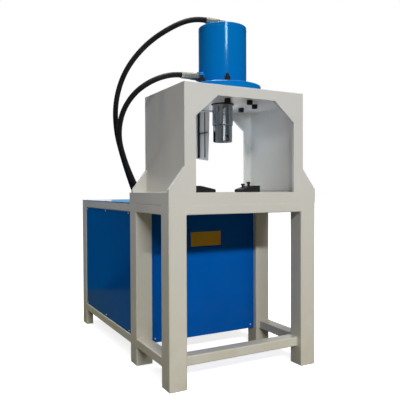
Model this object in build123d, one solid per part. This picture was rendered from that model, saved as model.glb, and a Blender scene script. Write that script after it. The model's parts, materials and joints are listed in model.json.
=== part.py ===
from build123d import *
import math
import os

# Hydraulic hole punching machine: a welded table carries a press head with a
# work window, and the cabinet behind it holds the power pack.
# Frame: X to the right seen from the front, the front faces -Y, Z is up.
# The origin is on the floor under the middle of the machine. Millimetres.

# Table, head and cabinet
LENGTH = 1270.0
WIDTH = 740.0
FRONT = -LENGTH / 2
REAR = LENGTH / 2
BED_TOP = 795.0
BED_T = 50.0
BED_LOW = BED_TOP - BED_T
TABLE_DEPTH = 440.0
TABLE_REAR = FRONT + TABLE_DEPTH
LEG = 80.0
LEG_WALL = 5.0
LEG_ROUND = 6.0
FOOT_T = 8.0
RAIL = 40.0
RAIL_WALL = 3.0
RAIL_ROUND = 4.0
POST_WALL = 4.0
STRETCHER_Z = 85.0
FRONT_SETBACK = 30.0
STRETCHER_W = 60.0
CABINET_RAIL_Z = 87.0
HEAD_W = 600.0
HEAD_D = 415.0
HEAD_TOP = 1240.0
FLARE_TOP = 900.0
FLARE_LOW = 807.0
PLATE_T = 16.0
CROWN_T = 40.0
CEILING = HEAD_TOP - CROWN_T
WINDOW_TOP = 1195.0
WINDOW_W = 496.0
WINDOW_CORNER_X = 104.0
WINDOW_CORNER_Z = 90.0
EDGE_BREAK = 1.0

# Cabinet panels
SHEET_T = 2.0
TOP_SHEET_T = 3.0
PANEL_GAP = 1.0
PANEL_RECESS = 3.0
LEDGE_H = 22.0
LEDGE_T = 4.0
FRONT_PANEL_Y = FRONT + 384.0
SCREW_R = 2.0
SCREW_LEN = 8.0
SCREW_HEAD_R = 4.0
SCREW_HEAD_H = 2.2
SCREW_SLOT_W = 1.0
SCREW_SLOT_H = 0.9
PLATE_LABEL = (168.0, 70.0)
LABEL_CENTRE = (7.0, 565.0)
LABEL_T = 0.8

# Hydraulic cylinder
RAM_Y = FRONT + HEAD_D / 2
BARREL_R = 110.0
BORE_R = 90.0
BARREL_TOP = 1529.0
CAP_TOP = 1545.0
FLANGE_R = 175.0
FLANGE_T = 35.0
FLANGE_TOP = HEAD_TOP + FLANGE_T
BOLT_CIRCLE_R = 150.0
BOLT_COUNT = 8
BOLT_R = 8.0
BOLT_HEAD_R = 13.5
BOLT_HEAD_H = 18.0
BOLT_SOCKET = 14.0
NUT_ANGLES = (-157.5, -112.5)
NUT_FLATS = 26.0
NUT_H = 20.0
STUD_OVER_NUT = 13.0
ROD_R = 47.0
ROD_CLEAR = 0.05
BORE_CLEAR = 0.08
ROD_LOW = 1100.0
STROKE = 150.0
PISTON_TOP = 1520.0
PISTON_H = 60.0
PISTON_LOW = PISTON_TOP - PISTON_H
GLAND_TOP = 1300.0
GLAND_NECK_R = 51.0
WIPER_R = 52.0
WIPER_T = 4.0
HOLDER_R = 44.0
HOLDER_LOW = 1026.0
SOCKET_R = 25.0
SOCKET_DEPTH = 50.0
KEY_SLOT_W = 16.0
KEY_SLOT_H = 50.0
SET_SCREW_R = 6.0
SET_SCREW_Z = 1050.0
SET_SCREW_DEEP = 8.0
LOWER_PORT_Z = 1313.0
UPPER_PORT_Z = 1572.0
PORT_R = 6.0
PORT_THREAD = 14.0
THREAD_R = 10.5
BOSS_R = 21.0
BOSS_END = -BARREL_R - 20.0

# Hoses
HOSE_R = 12.0
FERRULE_R = 14.5
FERRULE_LEN = 46.0
SWIVEL_FLATS = 30.0
SWIVEL_LEN = 26.0
UPPER_FERRULE_END = -89.0
LOWER_FERRULE_END = -213.0
HOSE_END_Z = 690.0
HOSE_X = -276.0
UPPER_HOSE_Y = -35.0
LOWER_HOSE_Y = -109.0
UPPER_ROUTE = [
    (UPPER_FERRULE_END, RAM_Y, UPPER_PORT_Z),
    (-149, RAM_Y, UPPER_PORT_Z),
    (-245, -388, 1529),
    (-339, -318, 1456),
    (-410, -249, 1348),
    (-434, -186, 1220),
    (-413, -130, 1088),
    (-363, -83, 967),
    (-315, -49, 860),
    (HOSE_X, UPPER_HOSE_Y, 772),
    (HOSE_X, UPPER_HOSE_Y, HOSE_END_Z),
]
LOWER_ROUTE = [
    (LOWER_FERRULE_END, RAM_Y, LOWER_PORT_Z),
    (-256, RAM_Y, LOWER_PORT_Z),
    (-345, -405, 1281),
    (-408, -348, 1227),
    (-441, -288, 1146),
    (-434, -226, 1049),
    (-387, -172, 951),
    (-328, -127, 854),
    (HOSE_X, LOWER_HOSE_Y, 772),
    (HOSE_X, LOWER_HOSE_Y, HOSE_END_Z),
]
BEND_SHARE = 0.45
GROMMET_R = 20.0
GROMMET_BORE_R = 13.0
GROMMET_HOLE_R = 17.0
GROMMET_LIP = 3.0

# Die clamps on the bed
DIE_BORE_R = 40.0
CLAMP_Y = RAM_Y - 19.5
CLAMP_W = 76.0
CLAMP_NOSE_H = 14.0
CLAMP_H = 30.0
LEFT_CLAMP = (70.0, 150.0, 75.0, (62.0, 132.0))
RIGHT_CLAMP = (75.0, 94.0, 55.0, (20.0, 74.0))
HEEL_LEN = 22.0
HEEL_STEP = 1.0
CLAMP_GAP = 0.3
CLAMP_SLOT_W = 13.0
CLAMP_BOLT_DY = 24.0
CLAMP_BOLT_R = 6.0
CLAMP_HEAD_R = 9.0
CLAMP_HEAD_H = 8.0
CLAMP_SOCKET = 8.0
INNER_HOLE_X = 113.0
OUTER_HOLE_X = 178.0
TAP_DEPTH = 32.0
TAP_CLEAR = 0.1

# Power pack in the cabinet
TANK_X = 300.0
TANK_Y = (-140.0, 540.0)
TANK_TOP = 400.0
TANK_WALL = 4.0
BEARER_Y = (-40.0, 440.0)
MOTOR_X = 90.0
MOTOR_Z = TANK_TOP + 112.0
MOTOR_R = 105.0
MOTOR_Y = (190.0, 520.0)
MOTOR_FINS = 24
MOTOR_FIN_H = 16.0
MOTOR_FIN_T = 4.0
COWL_LEN = 80.0
VENT_COUNT = 8
VENT_R = 14.0
VENT_CIRCLE_R = 58.0
SHAFT_R = 14.0
ROTOR_R = 64.5
FAN_R = 88.0
FAN_HUB_R = 24.0
FAN_T = 3.0
FAN_BLADES = 7
COUPLING_R = 35.0
PUMP_Y = (-10.0, 90.0)
GEAR_Y = (20.0, 50.0)
GEAR_TEETH = 14
GEAR_MODULE = 3.0
GEAR_ANGLE = 25.0
GEAR_BACKLASH = 0.3
GEAR_SHAFT_R = 9.0
PIPE_R = 8.0
VALVE_X = (-326.0, -226.0)
VALVE_Y = (-150.0, 6.0)
VALVE_Z = (520.0, 600.0)
COIL_R = 22.0
COIL_REACH = 85.0

# Control box behind the head
BOX_X = (47.0, 83.0)
BOX_Y = (-138.0, -5.0)
BOX_Z = (978.0, HEAD_TOP)
BOX_WALL = 2.0
HANGER_T = 3.0
HANGER_LOW_Y = -206.0
HANGER_LOW_Z = 954.0
TRUNK_WIDE_Y = (-121.0, -109.0)
TRUNK_THIN_Y = (-179.0, -176.0)
TRUNK_BRANCH_Z = (1095.0, 1099.0)
DOOR_GAP = 0.5
HINGE_X = BOX_X[1] + 4.5
HINGE_Y = BOX_Y[1] + 3.0
HINGE_PIN_R = 2.0
HINGE_R = 4.0
HINGE_CLEAR = 0.05
HINGE_LEN = 30.0
HINGE_Z = (1000.0, 1170.0)
BUTTON_Y = -72.0
START_Z = 1180.0
STOP_Z = 1120.0
ESTOP_Z = 1040.0
BUTTON_R = 11.0
ESTOP_STEM_R = 9.0
ESTOP_R = 20.0
BUTTON_CLEAR = 0.2
BEZEL_H = 3.5


def block(x0, x1, y0, y1, z0, z1):
    """A plain block between two corners."""
    size = Box(x1 - x0, y1 - y0, z1 - z0)
    return Pos((x0 + x1) / 2, (y0 + y1) / 2, (z0 + z1) / 2) * size


def rod_z(r, z0, z1, x=0.0, y=RAM_Y):
    """An upright cylinder."""
    return Pos(x, y, (z0 + z1) / 2) * Cylinder(r, z1 - z0)


def rod_x(r, x0, x1, y, z):
    """A cylinder along X."""
    return Pos((x0 + x1) / 2, y, z) * Rot(0, 90, 0) * Cylinder(r, x1 - x0)


def rod_y(r, y0, y1, x, z):
    """A cylinder along Y."""
    return Pos(x, (y0 + y1) / 2, z) * Rot(90, 0, 0) * Cylinder(r, y1 - y0)


def hex_z(flats, z0, z1, x=0.0, y=RAM_Y):
    """An upright hexagonal bar, by its width across flats."""
    bar = extrude(RegularPolygon(flats / 2, 6, major_radius=False), amount=z1 - z0)
    return Pos(x, y, z0) * bar


def hex_x(flats, x0, x1, y, z):
    """A hexagonal bar along X."""
    bar = extrude(RegularPolygon(flats / 2, 6, major_radius=False), amount=x1 - x0)
    return Pos(x0, y, z) * Rot(0, 90, 0) * bar


def box_tube(across, depth, wall, corner, length):
    """A rectangular steel tube standing on the origin."""
    outer = extrude(RectangleRounded(across, depth, corner), amount=length)
    inner = RectangleRounded(across - 2 * wall, depth - 2 * wall, corner - wall / 2)
    return outer - extrude(inner, amount=length)


def tube_x(x0, x1, y0, z0, across=RAIL):
    """A rail tube along X, by its low front edge."""
    tube = box_tube(RAIL, across, RAIL_WALL, RAIL_ROUND, x1 - x0)
    return Pos(x0, y0 + across / 2, z0 + RAIL / 2) * Rot(0, 90, 0) * tube


def tube_y(y0, y1, x0, z0, across=RAIL):
    """A rail tube along Y, by its low left edge."""
    tube = box_tube(across, RAIL, RAIL_WALL, RAIL_ROUND, y1 - y0)
    return Pos(x0 + across / 2, y1, z0 + RAIL / 2) * Rot(90, 0, 0) * tube


def foot_tube(across, depth, wall):
    """An upright tube with its foot plate welded in."""
    tube = box_tube(across, depth, wall, LEG_ROUND, BED_LOW)
    foot = extrude(RectangleRounded(across, depth, LEG_ROUND), amount=FOOT_T)
    return tube + foot


def group(pieces):
    """Separate solids that share one node."""
    return Compound(children=list(pieces))


def mirrored(piece):
    """The same piece on the right of the machine."""
    return mirror(piece, about=Plane.YZ)


# Press head
def head_plate(y0):
    """A portal plate: posts, flared feet and a window with cut corners."""
    half = HEAD_W / 2
    foot = WIDTH / 2
    opening = WINDOW_W / 2
    outline = Polygon(
        (-foot, BED_TOP), (-foot, FLARE_LOW), (-half, FLARE_TOP), (-half, HEAD_TOP),
        (half, HEAD_TOP), (half, FLARE_TOP), (foot, FLARE_LOW), (foot, BED_TOP), align=None,
    )
    window = Polygon(
        (-opening, BED_TOP), (-opening, WINDOW_TOP - WINDOW_CORNER_Z),
        (-opening + WINDOW_CORNER_X, WINDOW_TOP), (opening - WINDOW_CORNER_X, WINDOW_TOP),
        (opening, WINDOW_TOP - WINDOW_CORNER_Z), (opening, BED_TOP), align=None,
    )
    plate = extrude(Plane.XZ * (outline - window), amount=PLATE_T, dir=(0, 1, 0))
    plate = Pos(0, y0, 0) * plate
    open_edges = plate.edges().filter_by(Axis.Y, reverse=True).group_by(Axis.Z)[1:]
    return chamfer([edge for level in open_edges for edge in level], EDGE_BREAK)


def left_side_plate():
    """A side wall of the head, between the portal plates."""
    return block(-HEAD_W / 2, -HEAD_W / 2 + PLATE_T, FRONT + PLATE_T,
                 FRONT + HEAD_D - PLATE_T, BED_TOP, HEAD_TOP)


def bolt_places():
    """Angles of the flange screws, in degrees."""
    step = 360.0 / BOLT_COUNT
    return [-180.0 + step / 2 + step * n for n in range(BOLT_COUNT)]


def on_circle(radius, angle):
    """A place on a circle about the ram axis."""
    turn = math.radians(angle)
    return radius * math.cos(turn), RAM_Y + radius * math.sin(turn)


def crown_plate():
    """The thick plate that takes the punching force."""
    half = HEAD_W / 2 - PLATE_T
    plate = block(-half, half, FRONT + PLATE_T, FRONT + HEAD_D - PLATE_T, CEILING, HEAD_TOP)
    plate -= rod_z(GLAND_NECK_R + 0.5, CEILING, HEAD_TOP)
    for angle in bolt_places():
        x, y = on_circle(BOLT_CIRCLE_R, angle)
        plate -= rod_z(BOLT_R + 0.5, CEILING, HEAD_TOP, x, y)
    return plate


# Table
def bed_holes():
    """Tapped holes for the die clamps."""
    places = []
    for x in (-OUTER_HOLE_X, -INNER_HOLE_X, INNER_HOLE_X, OUTER_HOLE_X):
        for side in (-1, 1):
            places.append((x, CLAMP_Y + side * CLAMP_BOLT_DY))
    return places


def bed_plate():
    """The bed with its slug hole and tapped holes."""
    bed = block(-WIDTH / 2, WIDTH / 2, FRONT, TABLE_REAR, BED_LOW, BED_TOP)
    bed -= rod_z(DIE_BORE_R, BED_LOW, BED_TOP)
    for x, y in bed_holes():
        bed -= rod_z(CLAMP_BOLT_R + TAP_CLEAR, BED_TOP - TAP_DEPTH, BED_TOP, x, y)
    return bed


def leg(x, y):
    """A table leg, by its middle."""
    return Pos(x, y, 0) * foot_tube(LEG, LEG, LEG_WALL)


def screw_hole_y(x, z, y0, y1):
    """A screw hole along Y."""
    return rod_y(SCREW_R + TAP_CLEAR, y0, y1, x, z)


def screw_hole_x(y, z, x0, x1):
    """A screw hole along X."""
    return rod_x(SCREW_R + TAP_CLEAR, x0, x1, y, z)


PANEL_LOW = CABINET_RAIL_Z + RAIL
PANEL_HIGH = BED_LOW - RAIL
SIDE_SCREW_Y = (TABLE_REAR + 24, (TABLE_REAR + REAR - LEG) / 2, REAR - LEG - 24)
SIDE_SCREW_Z = (PANEL_LOW + 11, PANEL_HIGH - 8)
REAR_SCREW_X = (-306.0, 0.0, 306.0)
FRONT_SCREW_X = (-268.0, 268.0)
FRONT_SCREW_Z = (CABINET_RAIL_Z + 19, BED_LOW - RAIL / 2)
TOP_SCREW_Y = (TABLE_REAR + 40, (TABLE_REAR + REAR) / 2, REAR - 40)
TOP_SCREW_X = WIDTH / 2 - RAIL / 2
FRONT_RAIL_Y = FRONT_PANEL_Y + SHEET_T
SIDE_PANEL_X = -WIDTH / 2 + PANEL_RECESS
REAR_PANEL_Y = REAR - PANEL_RECESS


def table_rails():
    """Four rails under the bed, between the legs."""
    inner = WIDTH / 2 - LEG
    low = BED_LOW - RAIL
    front = tube_x(-inner, inner, FRONT, low)
    back = tube_x(-inner, inner, FRONT_RAIL_Y, low)
    for x in FRONT_SCREW_X:
        back -= screw_hole_y(x, FRONT_SCREW_Z[1], FRONT_RAIL_Y, FRONT_RAIL_Y + RAIL_WALL)
    left = tube_y(FRONT + LEG, TABLE_REAR - LEG, -WIDTH / 2, low)
    return group([front, back, left, mirrored(left)])


def front_stretcher():
    """The low tube between the front legs."""
    inner = WIDTH / 2 - LEG
    return tube_x(-inner, inner, FRONT + FRONT_SETBACK, STRETCHER_Z, STRETCHER_W)


def left_stretcher():
    """The low tube between the left legs, flush with their outer faces."""
    return tube_y(FRONT + LEG, TABLE_REAR - LEG, -WIDTH / 2, STRETCHER_Z, STRETCHER_W)


# Cabinet frame
def rear_posts():
    """Two flat posts at the back of the cabinet."""
    post = foot_tube(RAIL, LEG, POST_WALL)
    left = Pos(-WIDTH / 2 + RAIL / 2, REAR - LEG / 2, 0) * post
    return group([left, mirrored(left)])


def side_rail(z0, ledge_z, screw_z):
    """A side rail of the cabinet with the ledge that backs the side panel."""
    start = TABLE_REAR
    end = REAR - LEG
    rail = tube_y(start, end, -WIDTH / 2, z0)
    ledge_x = SIDE_PANEL_X + SHEET_T
    rail += block(ledge_x, ledge_x + LEDGE_T, start, end, ledge_z, ledge_z + LEDGE_H)
    for y in SIDE_SCREW_Y:
        rail -= screw_hole_x(y, screw_z, ledge_x, ledge_x + LEDGE_T)
    return rail


def rear_rail(z0, ledge_z, screw_z):
    """A rear rail of the cabinet with the ledge that backs the rear panel."""
    inner = WIDTH / 2 - RAIL
    rail = tube_x(-inner, inner, REAR - RAIL, z0)
    ledge_y = REAR_PANEL_Y - SHEET_T - LEDGE_T
    rail += block(-inner, inner, ledge_y, ledge_y + LEDGE_T, ledge_z, ledge_z + LEDGE_H)
    for x in REAR_SCREW_X:
        rail -= screw_hole_y(x, screw_z, ledge_y, ledge_y + LEDGE_T)
    return rail


def cabinet_rails():
    """Side, rear and front rails, and the two bearers under the tank."""
    low_z = CABINET_RAIL_Z
    top_z = BED_LOW - RAIL
    low = side_rail(low_z, PANEL_LOW, SIDE_SCREW_Z[0])
    high = side_rail(top_z, PANEL_HIGH - LEDGE_H, SIDE_SCREW_Z[1])
    for y in TOP_SCREW_Y:
        high -= rod_z(SCREW_R + TAP_CLEAR, BED_LOW - RAIL_WALL, BED_LOW, -TOP_SCREW_X, y)
    rear_low = rear_rail(low_z, PANEL_LOW, SIDE_SCREW_Z[0])
    rear_high = rear_rail(top_z, PANEL_HIGH - LEDGE_H, SIDE_SCREW_Z[1])
    inner = WIDTH / 2 - LEG
    front = tube_x(-inner, inner, FRONT_RAIL_Y, low_z)
    for x in FRONT_SCREW_X:
        front -= screw_hole_y(x, FRONT_SCREW_Z[0], FRONT_RAIL_Y, FRONT_RAIL_Y + RAIL_WALL)
    reach = WIDTH / 2 - RAIL
    bearers = [tube_x(-reach, reach, y, low_z) for y in BEARER_Y]
    return group([low, mirrored(low), high, mirrored(high), rear_low, rear_high, front] + bearers)


# Cabinet panels
def left_panel():
    """The blue sheet between the left rails."""
    panel = block(SIDE_PANEL_X, SIDE_PANEL_X + SHEET_T, TABLE_REAR + PANEL_GAP,
                  REAR - LEG - PANEL_GAP, PANEL_LOW + PANEL_GAP, PANEL_HIGH - PANEL_GAP)
    for y in SIDE_SCREW_Y:
        for z in SIDE_SCREW_Z:
            panel -= screw_hole_x(y, z, SIDE_PANEL_X, SIDE_PANEL_X + SHEET_T)
    return panel


def rear_panel():
    """The blue sheet between the rear posts."""
    inner = WIDTH / 2 - RAIL - PANEL_GAP
    panel = block(-inner, inner, REAR_PANEL_Y - SHEET_T, REAR_PANEL_Y,
                  PANEL_LOW + PANEL_GAP, PANEL_HIGH - PANEL_GAP)
    for x in REAR_SCREW_X:
        for z in SIDE_SCREW_Z:
            panel -= screw_hole_y(x, z, REAR_PANEL_Y - SHEET_T, REAR_PANEL_Y)
    return panel


def front_panel():
    """The blue sheet between the rear legs of the table."""
    inner = WIDTH / 2 - LEG - PANEL_GAP
    panel = block(-inner, inner, FRONT_PANEL_Y, FRONT_PANEL_Y + SHEET_T,
                  CABINET_RAIL_Z, BED_LOW - PANEL_GAP)
    for x in FRONT_SCREW_X:
        for z in FRONT_SCREW_Z:
            panel -= screw_hole_y(x, z, FRONT_PANEL_Y, FRONT_PANEL_Y + SHEET_T)
    return panel


def top_panel():
    """The blue sheet on the cabinet, with two hose holes."""
    panel = block(-WIDTH / 2, WIDTH / 2, TABLE_REAR + PANEL_GAP, REAR, BED_LOW, BED_LOW + TOP_SHEET_T)
    for y in (UPPER_HOSE_Y, LOWER_HOSE_Y):
        panel -= rod_z(GROMMET_HOLE_R, BED_LOW, BED_LOW + TOP_SHEET_T, HOSE_X, y)
    for y in TOP_SCREW_Y:
        for x in (-TOP_SCREW_X, TOP_SCREW_X):
            panel -= rod_z(SCREW_R + TAP_CLEAR, BED_LOW, BED_LOW + TOP_SHEET_T, x, y)
    return panel


def panel_screw():
    """A slotted pan head screw, head up, the sheet's face at the origin."""
    head = Pos(0, 0, SCREW_HEAD_H / 2) * Cylinder(SCREW_HEAD_R, SCREW_HEAD_H)
    head = fillet(head.edges().group_by(Axis.Z)[-1], SCREW_HEAD_H / 2)
    shank = Pos(0, 0, -SCREW_LEN / 2) * Cylinder(SCREW_R, SCREW_LEN)
    slot = Pos(0, 0, SCREW_HEAD_H) * Box(2 * SCREW_HEAD_R, SCREW_SLOT_W, 2 * SCREW_SLOT_H)
    return head + shank - slot


def panel_screws():
    """The screws of all five panels."""
    screw = panel_screw()
    placed = []
    for y in SIDE_SCREW_Y:
        for z in SIDE_SCREW_Z:
            left = Pos(SIDE_PANEL_X, y, z) * Rot(0, -90, 0) * screw
            placed += [left, mirrored(left)]
    for x in REAR_SCREW_X:
        for z in SIDE_SCREW_Z:
            placed.append(Pos(x, REAR_PANEL_Y, z) * Rot(-90, 0, 0) * screw)
    for x in FRONT_SCREW_X:
        for z in FRONT_SCREW_Z:
            placed.append(Pos(x, FRONT_PANEL_Y, z) * Rot(90, 0, 0) * screw)
    for y in TOP_SCREW_Y:
        for x in (-TOP_SCREW_X, TOP_SCREW_X):
            placed.append(Pos(x, y, BED_LOW + TOP_SHEET_T) * screw)
    return group(placed)


def label_plate():
    """The bare yellow plate on the front panel."""
    x, z = LABEL_CENTRE
    across, high = PLATE_LABEL
    return block(x - across / 2, x + across / 2, FRONT_PANEL_Y - LABEL_T, FRONT_PANEL_Y,
                 z - high / 2, z + high / 2)


# Hydraulic cylinder
def cylinder_barrel():
    """The cylinder tube with the welded boss of the lower port."""
    barrel = rod_z(BARREL_R, HEAD_TOP, BARREL_TOP)
    barrel += rod_x(BOSS_R, BOSS_END, -BORE_R - 8, RAM_Y, LOWER_PORT_Z)
    barrel -= rod_z(BORE_R, HEAD_TOP, BARREL_TOP)
    barrel -= rod_x(PORT_R, BOSS_END, -BORE_R + 8, RAM_Y, LOWER_PORT_Z)
    barrel -= rod_x(THREAD_R, BOSS_END, -BARREL_R, RAM_Y, LOWER_PORT_Z)
    return barrel


def cylinder_flange():
    """The round mounting flange around the foot of the barrel."""
    flange = rod_z(FLANGE_R, HEAD_TOP, FLANGE_TOP)
    flange = chamfer(flange.edges().group_by(Axis.Z)[-1], 2 * EDGE_BREAK)
    flange -= rod_z(BARREL_R, HEAD_TOP, FLANGE_TOP)
    for angle in bolt_places():
        x, y = on_circle(BOLT_CIRCLE_R, angle)
        flange -= rod_z(BOLT_R + TAP_CLEAR, HEAD_TOP, FLANGE_TOP, x, y)
    return flange


def cylinder_end_cap():
    """The welded cap with the upper port in its middle."""
    cap = rod_z(BARREL_R, BARREL_TOP, CAP_TOP)
    cap = fillet(cap.edges().group_by(Axis.Z)[-1], 4 * EDGE_BREAK)
    cap -= rod_z(PORT_R, BARREL_TOP, CAP_TOP)
    return cap - rod_z(THREAD_R, CAP_TOP - PORT_THREAD, CAP_TOP)


def gland_bush():
    """The bronze bush that guides the rod, with its neck in the crown."""
    bush = rod_z(BORE_R, HEAD_TOP, GLAND_TOP)
    bush += rod_z(GLAND_NECK_R, CEILING, HEAD_TOP)
    return bush - rod_z(ROD_R + ROD_CLEAR, CEILING, GLAND_TOP)


def wiper_ring():
    """The scraper ring under the crown."""
    ring = rod_z(WIPER_R, CEILING - WIPER_T, CEILING)
    ring = chamfer(ring.edges().group_by(Axis.Z)[0], 2 * EDGE_BREAK)
    return ring - rod_z(ROD_R + 2 * ROD_CLEAR, CEILING - WIPER_T, CEILING)


SPIGOT_R = 40.0
SEAL_H = 8.0
SEAL_DEPTH = 6.0
SEAL_Z = (PISTON_LOW + 14, PISTON_LOW + 38)
STUD_R = 20.0
STUD_TOP = ROD_LOW + 48
PISTON_R = BORE_R - BORE_CLEAR


def seal_ring(z0, outer):
    """A ring in a piston groove."""
    return rod_z(outer, z0, z0 + SEAL_H) - rod_z(PISTON_R - SEAL_DEPTH, z0, z0 + SEAL_H)


def piston():
    """The piston with two seal grooves."""
    body = rod_z(PISTON_R, PISTON_LOW, PISTON_TOP)
    for z0 in SEAL_Z:
        body -= seal_ring(z0, BORE_R)
    return body - rod_z(SPIGOT_R, PISTON_LOW, PISTON_TOP)


def piston_seals():
    """The two piston seals."""
    return group([seal_ring(z0, BORE_R - ROD_CLEAR) for z0 in SEAL_Z])


def piston_rod():
    """The rod, with a spigot in the piston and a tapped end for the tool holder."""
    rod = rod_z(ROD_R, ROD_LOW, PISTON_LOW)
    rod = chamfer(rod.edges().group_by(Axis.Z)[0], 3 * EDGE_BREAK)
    rod += rod_z(SPIGOT_R, PISTON_LOW, PISTON_TOP)
    return rod - rod_z(STUD_R, ROD_LOW, STUD_TOP)


def tool_holder():
    """The punch holder: a socket from below, a key slot on the left, a set screw in front."""
    body = rod_z(HOLDER_R, HOLDER_LOW, ROD_LOW)
    body = fillet(body.edges().group_by(Axis.Z)[0], 3 * EDGE_BREAK)
    body = chamfer(body.edges().group_by(Axis.Z)[-1], 2 * EDGE_BREAK)
    body += rod_z(STUD_R, ROD_LOW, STUD_TOP)
    body -= rod_z(SOCKET_R, HOLDER_LOW, HOLDER_LOW + SOCKET_DEPTH)
    body -= block(-HOLDER_R, 0, RAM_Y - KEY_SLOT_W / 2, RAM_Y + KEY_SLOT_W / 2,
                  HOLDER_LOW, HOLDER_LOW + KEY_SLOT_H)
    return body - rod_y(SET_SCREW_R, RAM_Y - HOLDER_R, RAM_Y, 0, SET_SCREW_Z)


def tool_set_screw():
    """The hexagon socket set screw that holds the punch shank."""
    face = RAM_Y - HOLDER_R + SET_SCREW_DEEP
    screw = rod_y(SET_SCREW_R, face, RAM_Y - SOCKET_R - 0.5, 0, SET_SCREW_Z)
    socket = extrude(RegularPolygon(SET_SCREW_R / 2, 6, major_radius=False), amount=SET_SCREW_R)
    return screw - Pos(0, face, SET_SCREW_Z) * Rot(-90, 0, 0) * socket


def flange_bolts():
    """Cap screws from below; two longer ones carry a lock nut above the flange."""
    pieces = []
    for angle in bolt_places():
        x, y = on_circle(BOLT_CIRCLE_R, angle)
        top = FLANGE_TOP - 2
        if angle in NUT_ANGLES:
            top = FLANGE_TOP + NUT_H + STUD_OVER_NUT
            nut = hex_z(NUT_FLATS, FLANGE_TOP, FLANGE_TOP + NUT_H, x, y)
            pieces.append(nut - rod_z(BOLT_R + TAP_CLEAR, FLANGE_TOP, FLANGE_TOP + NUT_H, x, y))
        low = CEILING - BOLT_HEAD_H
        head = rod_z(BOLT_HEAD_R, low, CEILING, x, y)
        head = chamfer(head.edges().group_by(Axis.Z)[0], EDGE_BREAK)
        screw = head + rod_z(BOLT_R, CEILING, top, x, y)
        pieces.append(screw - hex_z(BOLT_SOCKET, low, low + BOLT_HEAD_H / 2, x, y))
    return group(pieces)


# Hydraulic lines
NOSE_R = 8.0
NOSE_LEN = 14.0
ELBOW_HEX = 8.0
ELBOW_HALF = 11.0
ELBOW_NECK_R = 10.0


def upper_port_elbow():
    """The forged elbow on the end cap, turned to the left."""
    nut_start = UPPER_FERRULE_END + FERRULE_LEN + SWIVEL_LEN
    hex_top = CAP_TOP + ELBOW_HEX
    half = ELBOW_HALF
    body = block(-half, half, RAM_Y - half, RAM_Y + half, hex_top, UPPER_PORT_Z + half)
    elbow = fillet(body.edges(), 3 * EDGE_BREAK)
    elbow += hex_z(SWIVEL_FLATS, CAP_TOP, hex_top)
    elbow += rod_z(THREAD_R - TAP_CLEAR, CAP_TOP - PORT_THREAD + 2, CAP_TOP)
    elbow += rod_x(ELBOW_NECK_R, nut_start, -half + 3 * EDGE_BREAK, RAM_Y, UPPER_PORT_Z)
    return elbow + rod_x(NOSE_R, nut_start - NOSE_LEN, nut_start, RAM_Y, UPPER_PORT_Z)


def lower_port_adapter():
    """The straight adapter on the lower port."""
    nut_start = LOWER_FERRULE_END + FERRULE_LEN + SWIVEL_LEN
    adapter = rod_x(THREAD_R - TAP_CLEAR, BOSS_END, -BARREL_R, RAM_Y, LOWER_PORT_Z)
    adapter += hex_x(SWIVEL_FLATS, nut_start, BOSS_END, RAM_Y, LOWER_PORT_Z)
    adapter += rod_x(NOSE_R, nut_start - NOSE_LEN, nut_start, RAM_Y, LOWER_PORT_Z)
    return adapter


def swivel_nut():
    """A hose nut along +Z from the origin, open for the nose of its port."""
    nut = extrude(RegularPolygon(SWIVEL_FLATS / 2, 6, major_radius=False), amount=SWIVEL_LEN)
    collar = Pos(0, 0, SWIVEL_LEN / 2) * Cylinder(SWIVEL_FLATS / 2 * 1.1, SWIVEL_LEN)
    collar = chamfer(collar.edges(), 2 * EDGE_BREAK)
    bore = Pos(0, 0, NOSE_LEN / 2) * Cylinder(NOSE_R + TAP_CLEAR, NOSE_LEN)
    return (nut & collar) - bore


def ferrule():
    """A crimped ferrule along +Z from the origin."""
    body = Pos(0, 0, FERRULE_LEN / 2) * Cylinder(FERRULE_R, FERRULE_LEN)
    body = chamfer(body.edges(), EDGE_BREAK)
    for share in (0.3, 0.5, 0.7):
        groove = Cylinder(FERRULE_R + 1, 4) - Cylinder(FERRULE_R - 1, 4)
        body -= Pos(0, 0, FERRULE_LEN * share) * groove
    return body


def hose_ends(ferrule_end, port_z, end_y):
    """The nuts and ferrules at both ends of one hose."""
    end_start = ferrule_end + FERRULE_LEN + SWIVEL_LEN
    port_end = Pos(end_start, RAM_Y, port_z) * Rot(0, -90, 0)
    block_end = Pos(HOSE_X, end_y, HOSE_END_Z - FERRULE_LEN - SWIVEL_LEN)
    pieces = []
    for place in (port_end, block_end):
        pieces.append(place * swivel_nut())
        pieces.append(place * Pos(0, 0, SWIVEL_LEN) * ferrule())
    return group(pieces)


def route_radii(route):
    """The largest bend that each corner of a route has room for."""
    points = [Vector(*p) for p in route]
    radii = []
    for before, corner, after in zip(points, points[1:], points[2:]):
        shorter = min((corner - before).length, (after - corner).length)
        turn = (corner - before).get_angle(after - corner)
        radii.append(BEND_SHARE * shorter / math.tan(math.radians(turn) / 2))
    return radii


def hose(name, route):
    """A hose swept along straight runs and tangent bends."""
    radii = route_radii(route)
    path = FilletPolyline(*route, radius=radii)
    start = Plane(origin=route[0], z_dir=Vector(*route[1]) - Vector(*route[0]))
    tube = sweep(start * Circle(HOSE_R), path=path)
    expected = math.pi * HOSE_R ** 2 * path.length
    print(name, "bends", [round(r) for r in radii], "length", round(path.length),
          "volume", round(tube.volume / expected, 4), "of section times length")
    return tube


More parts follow.
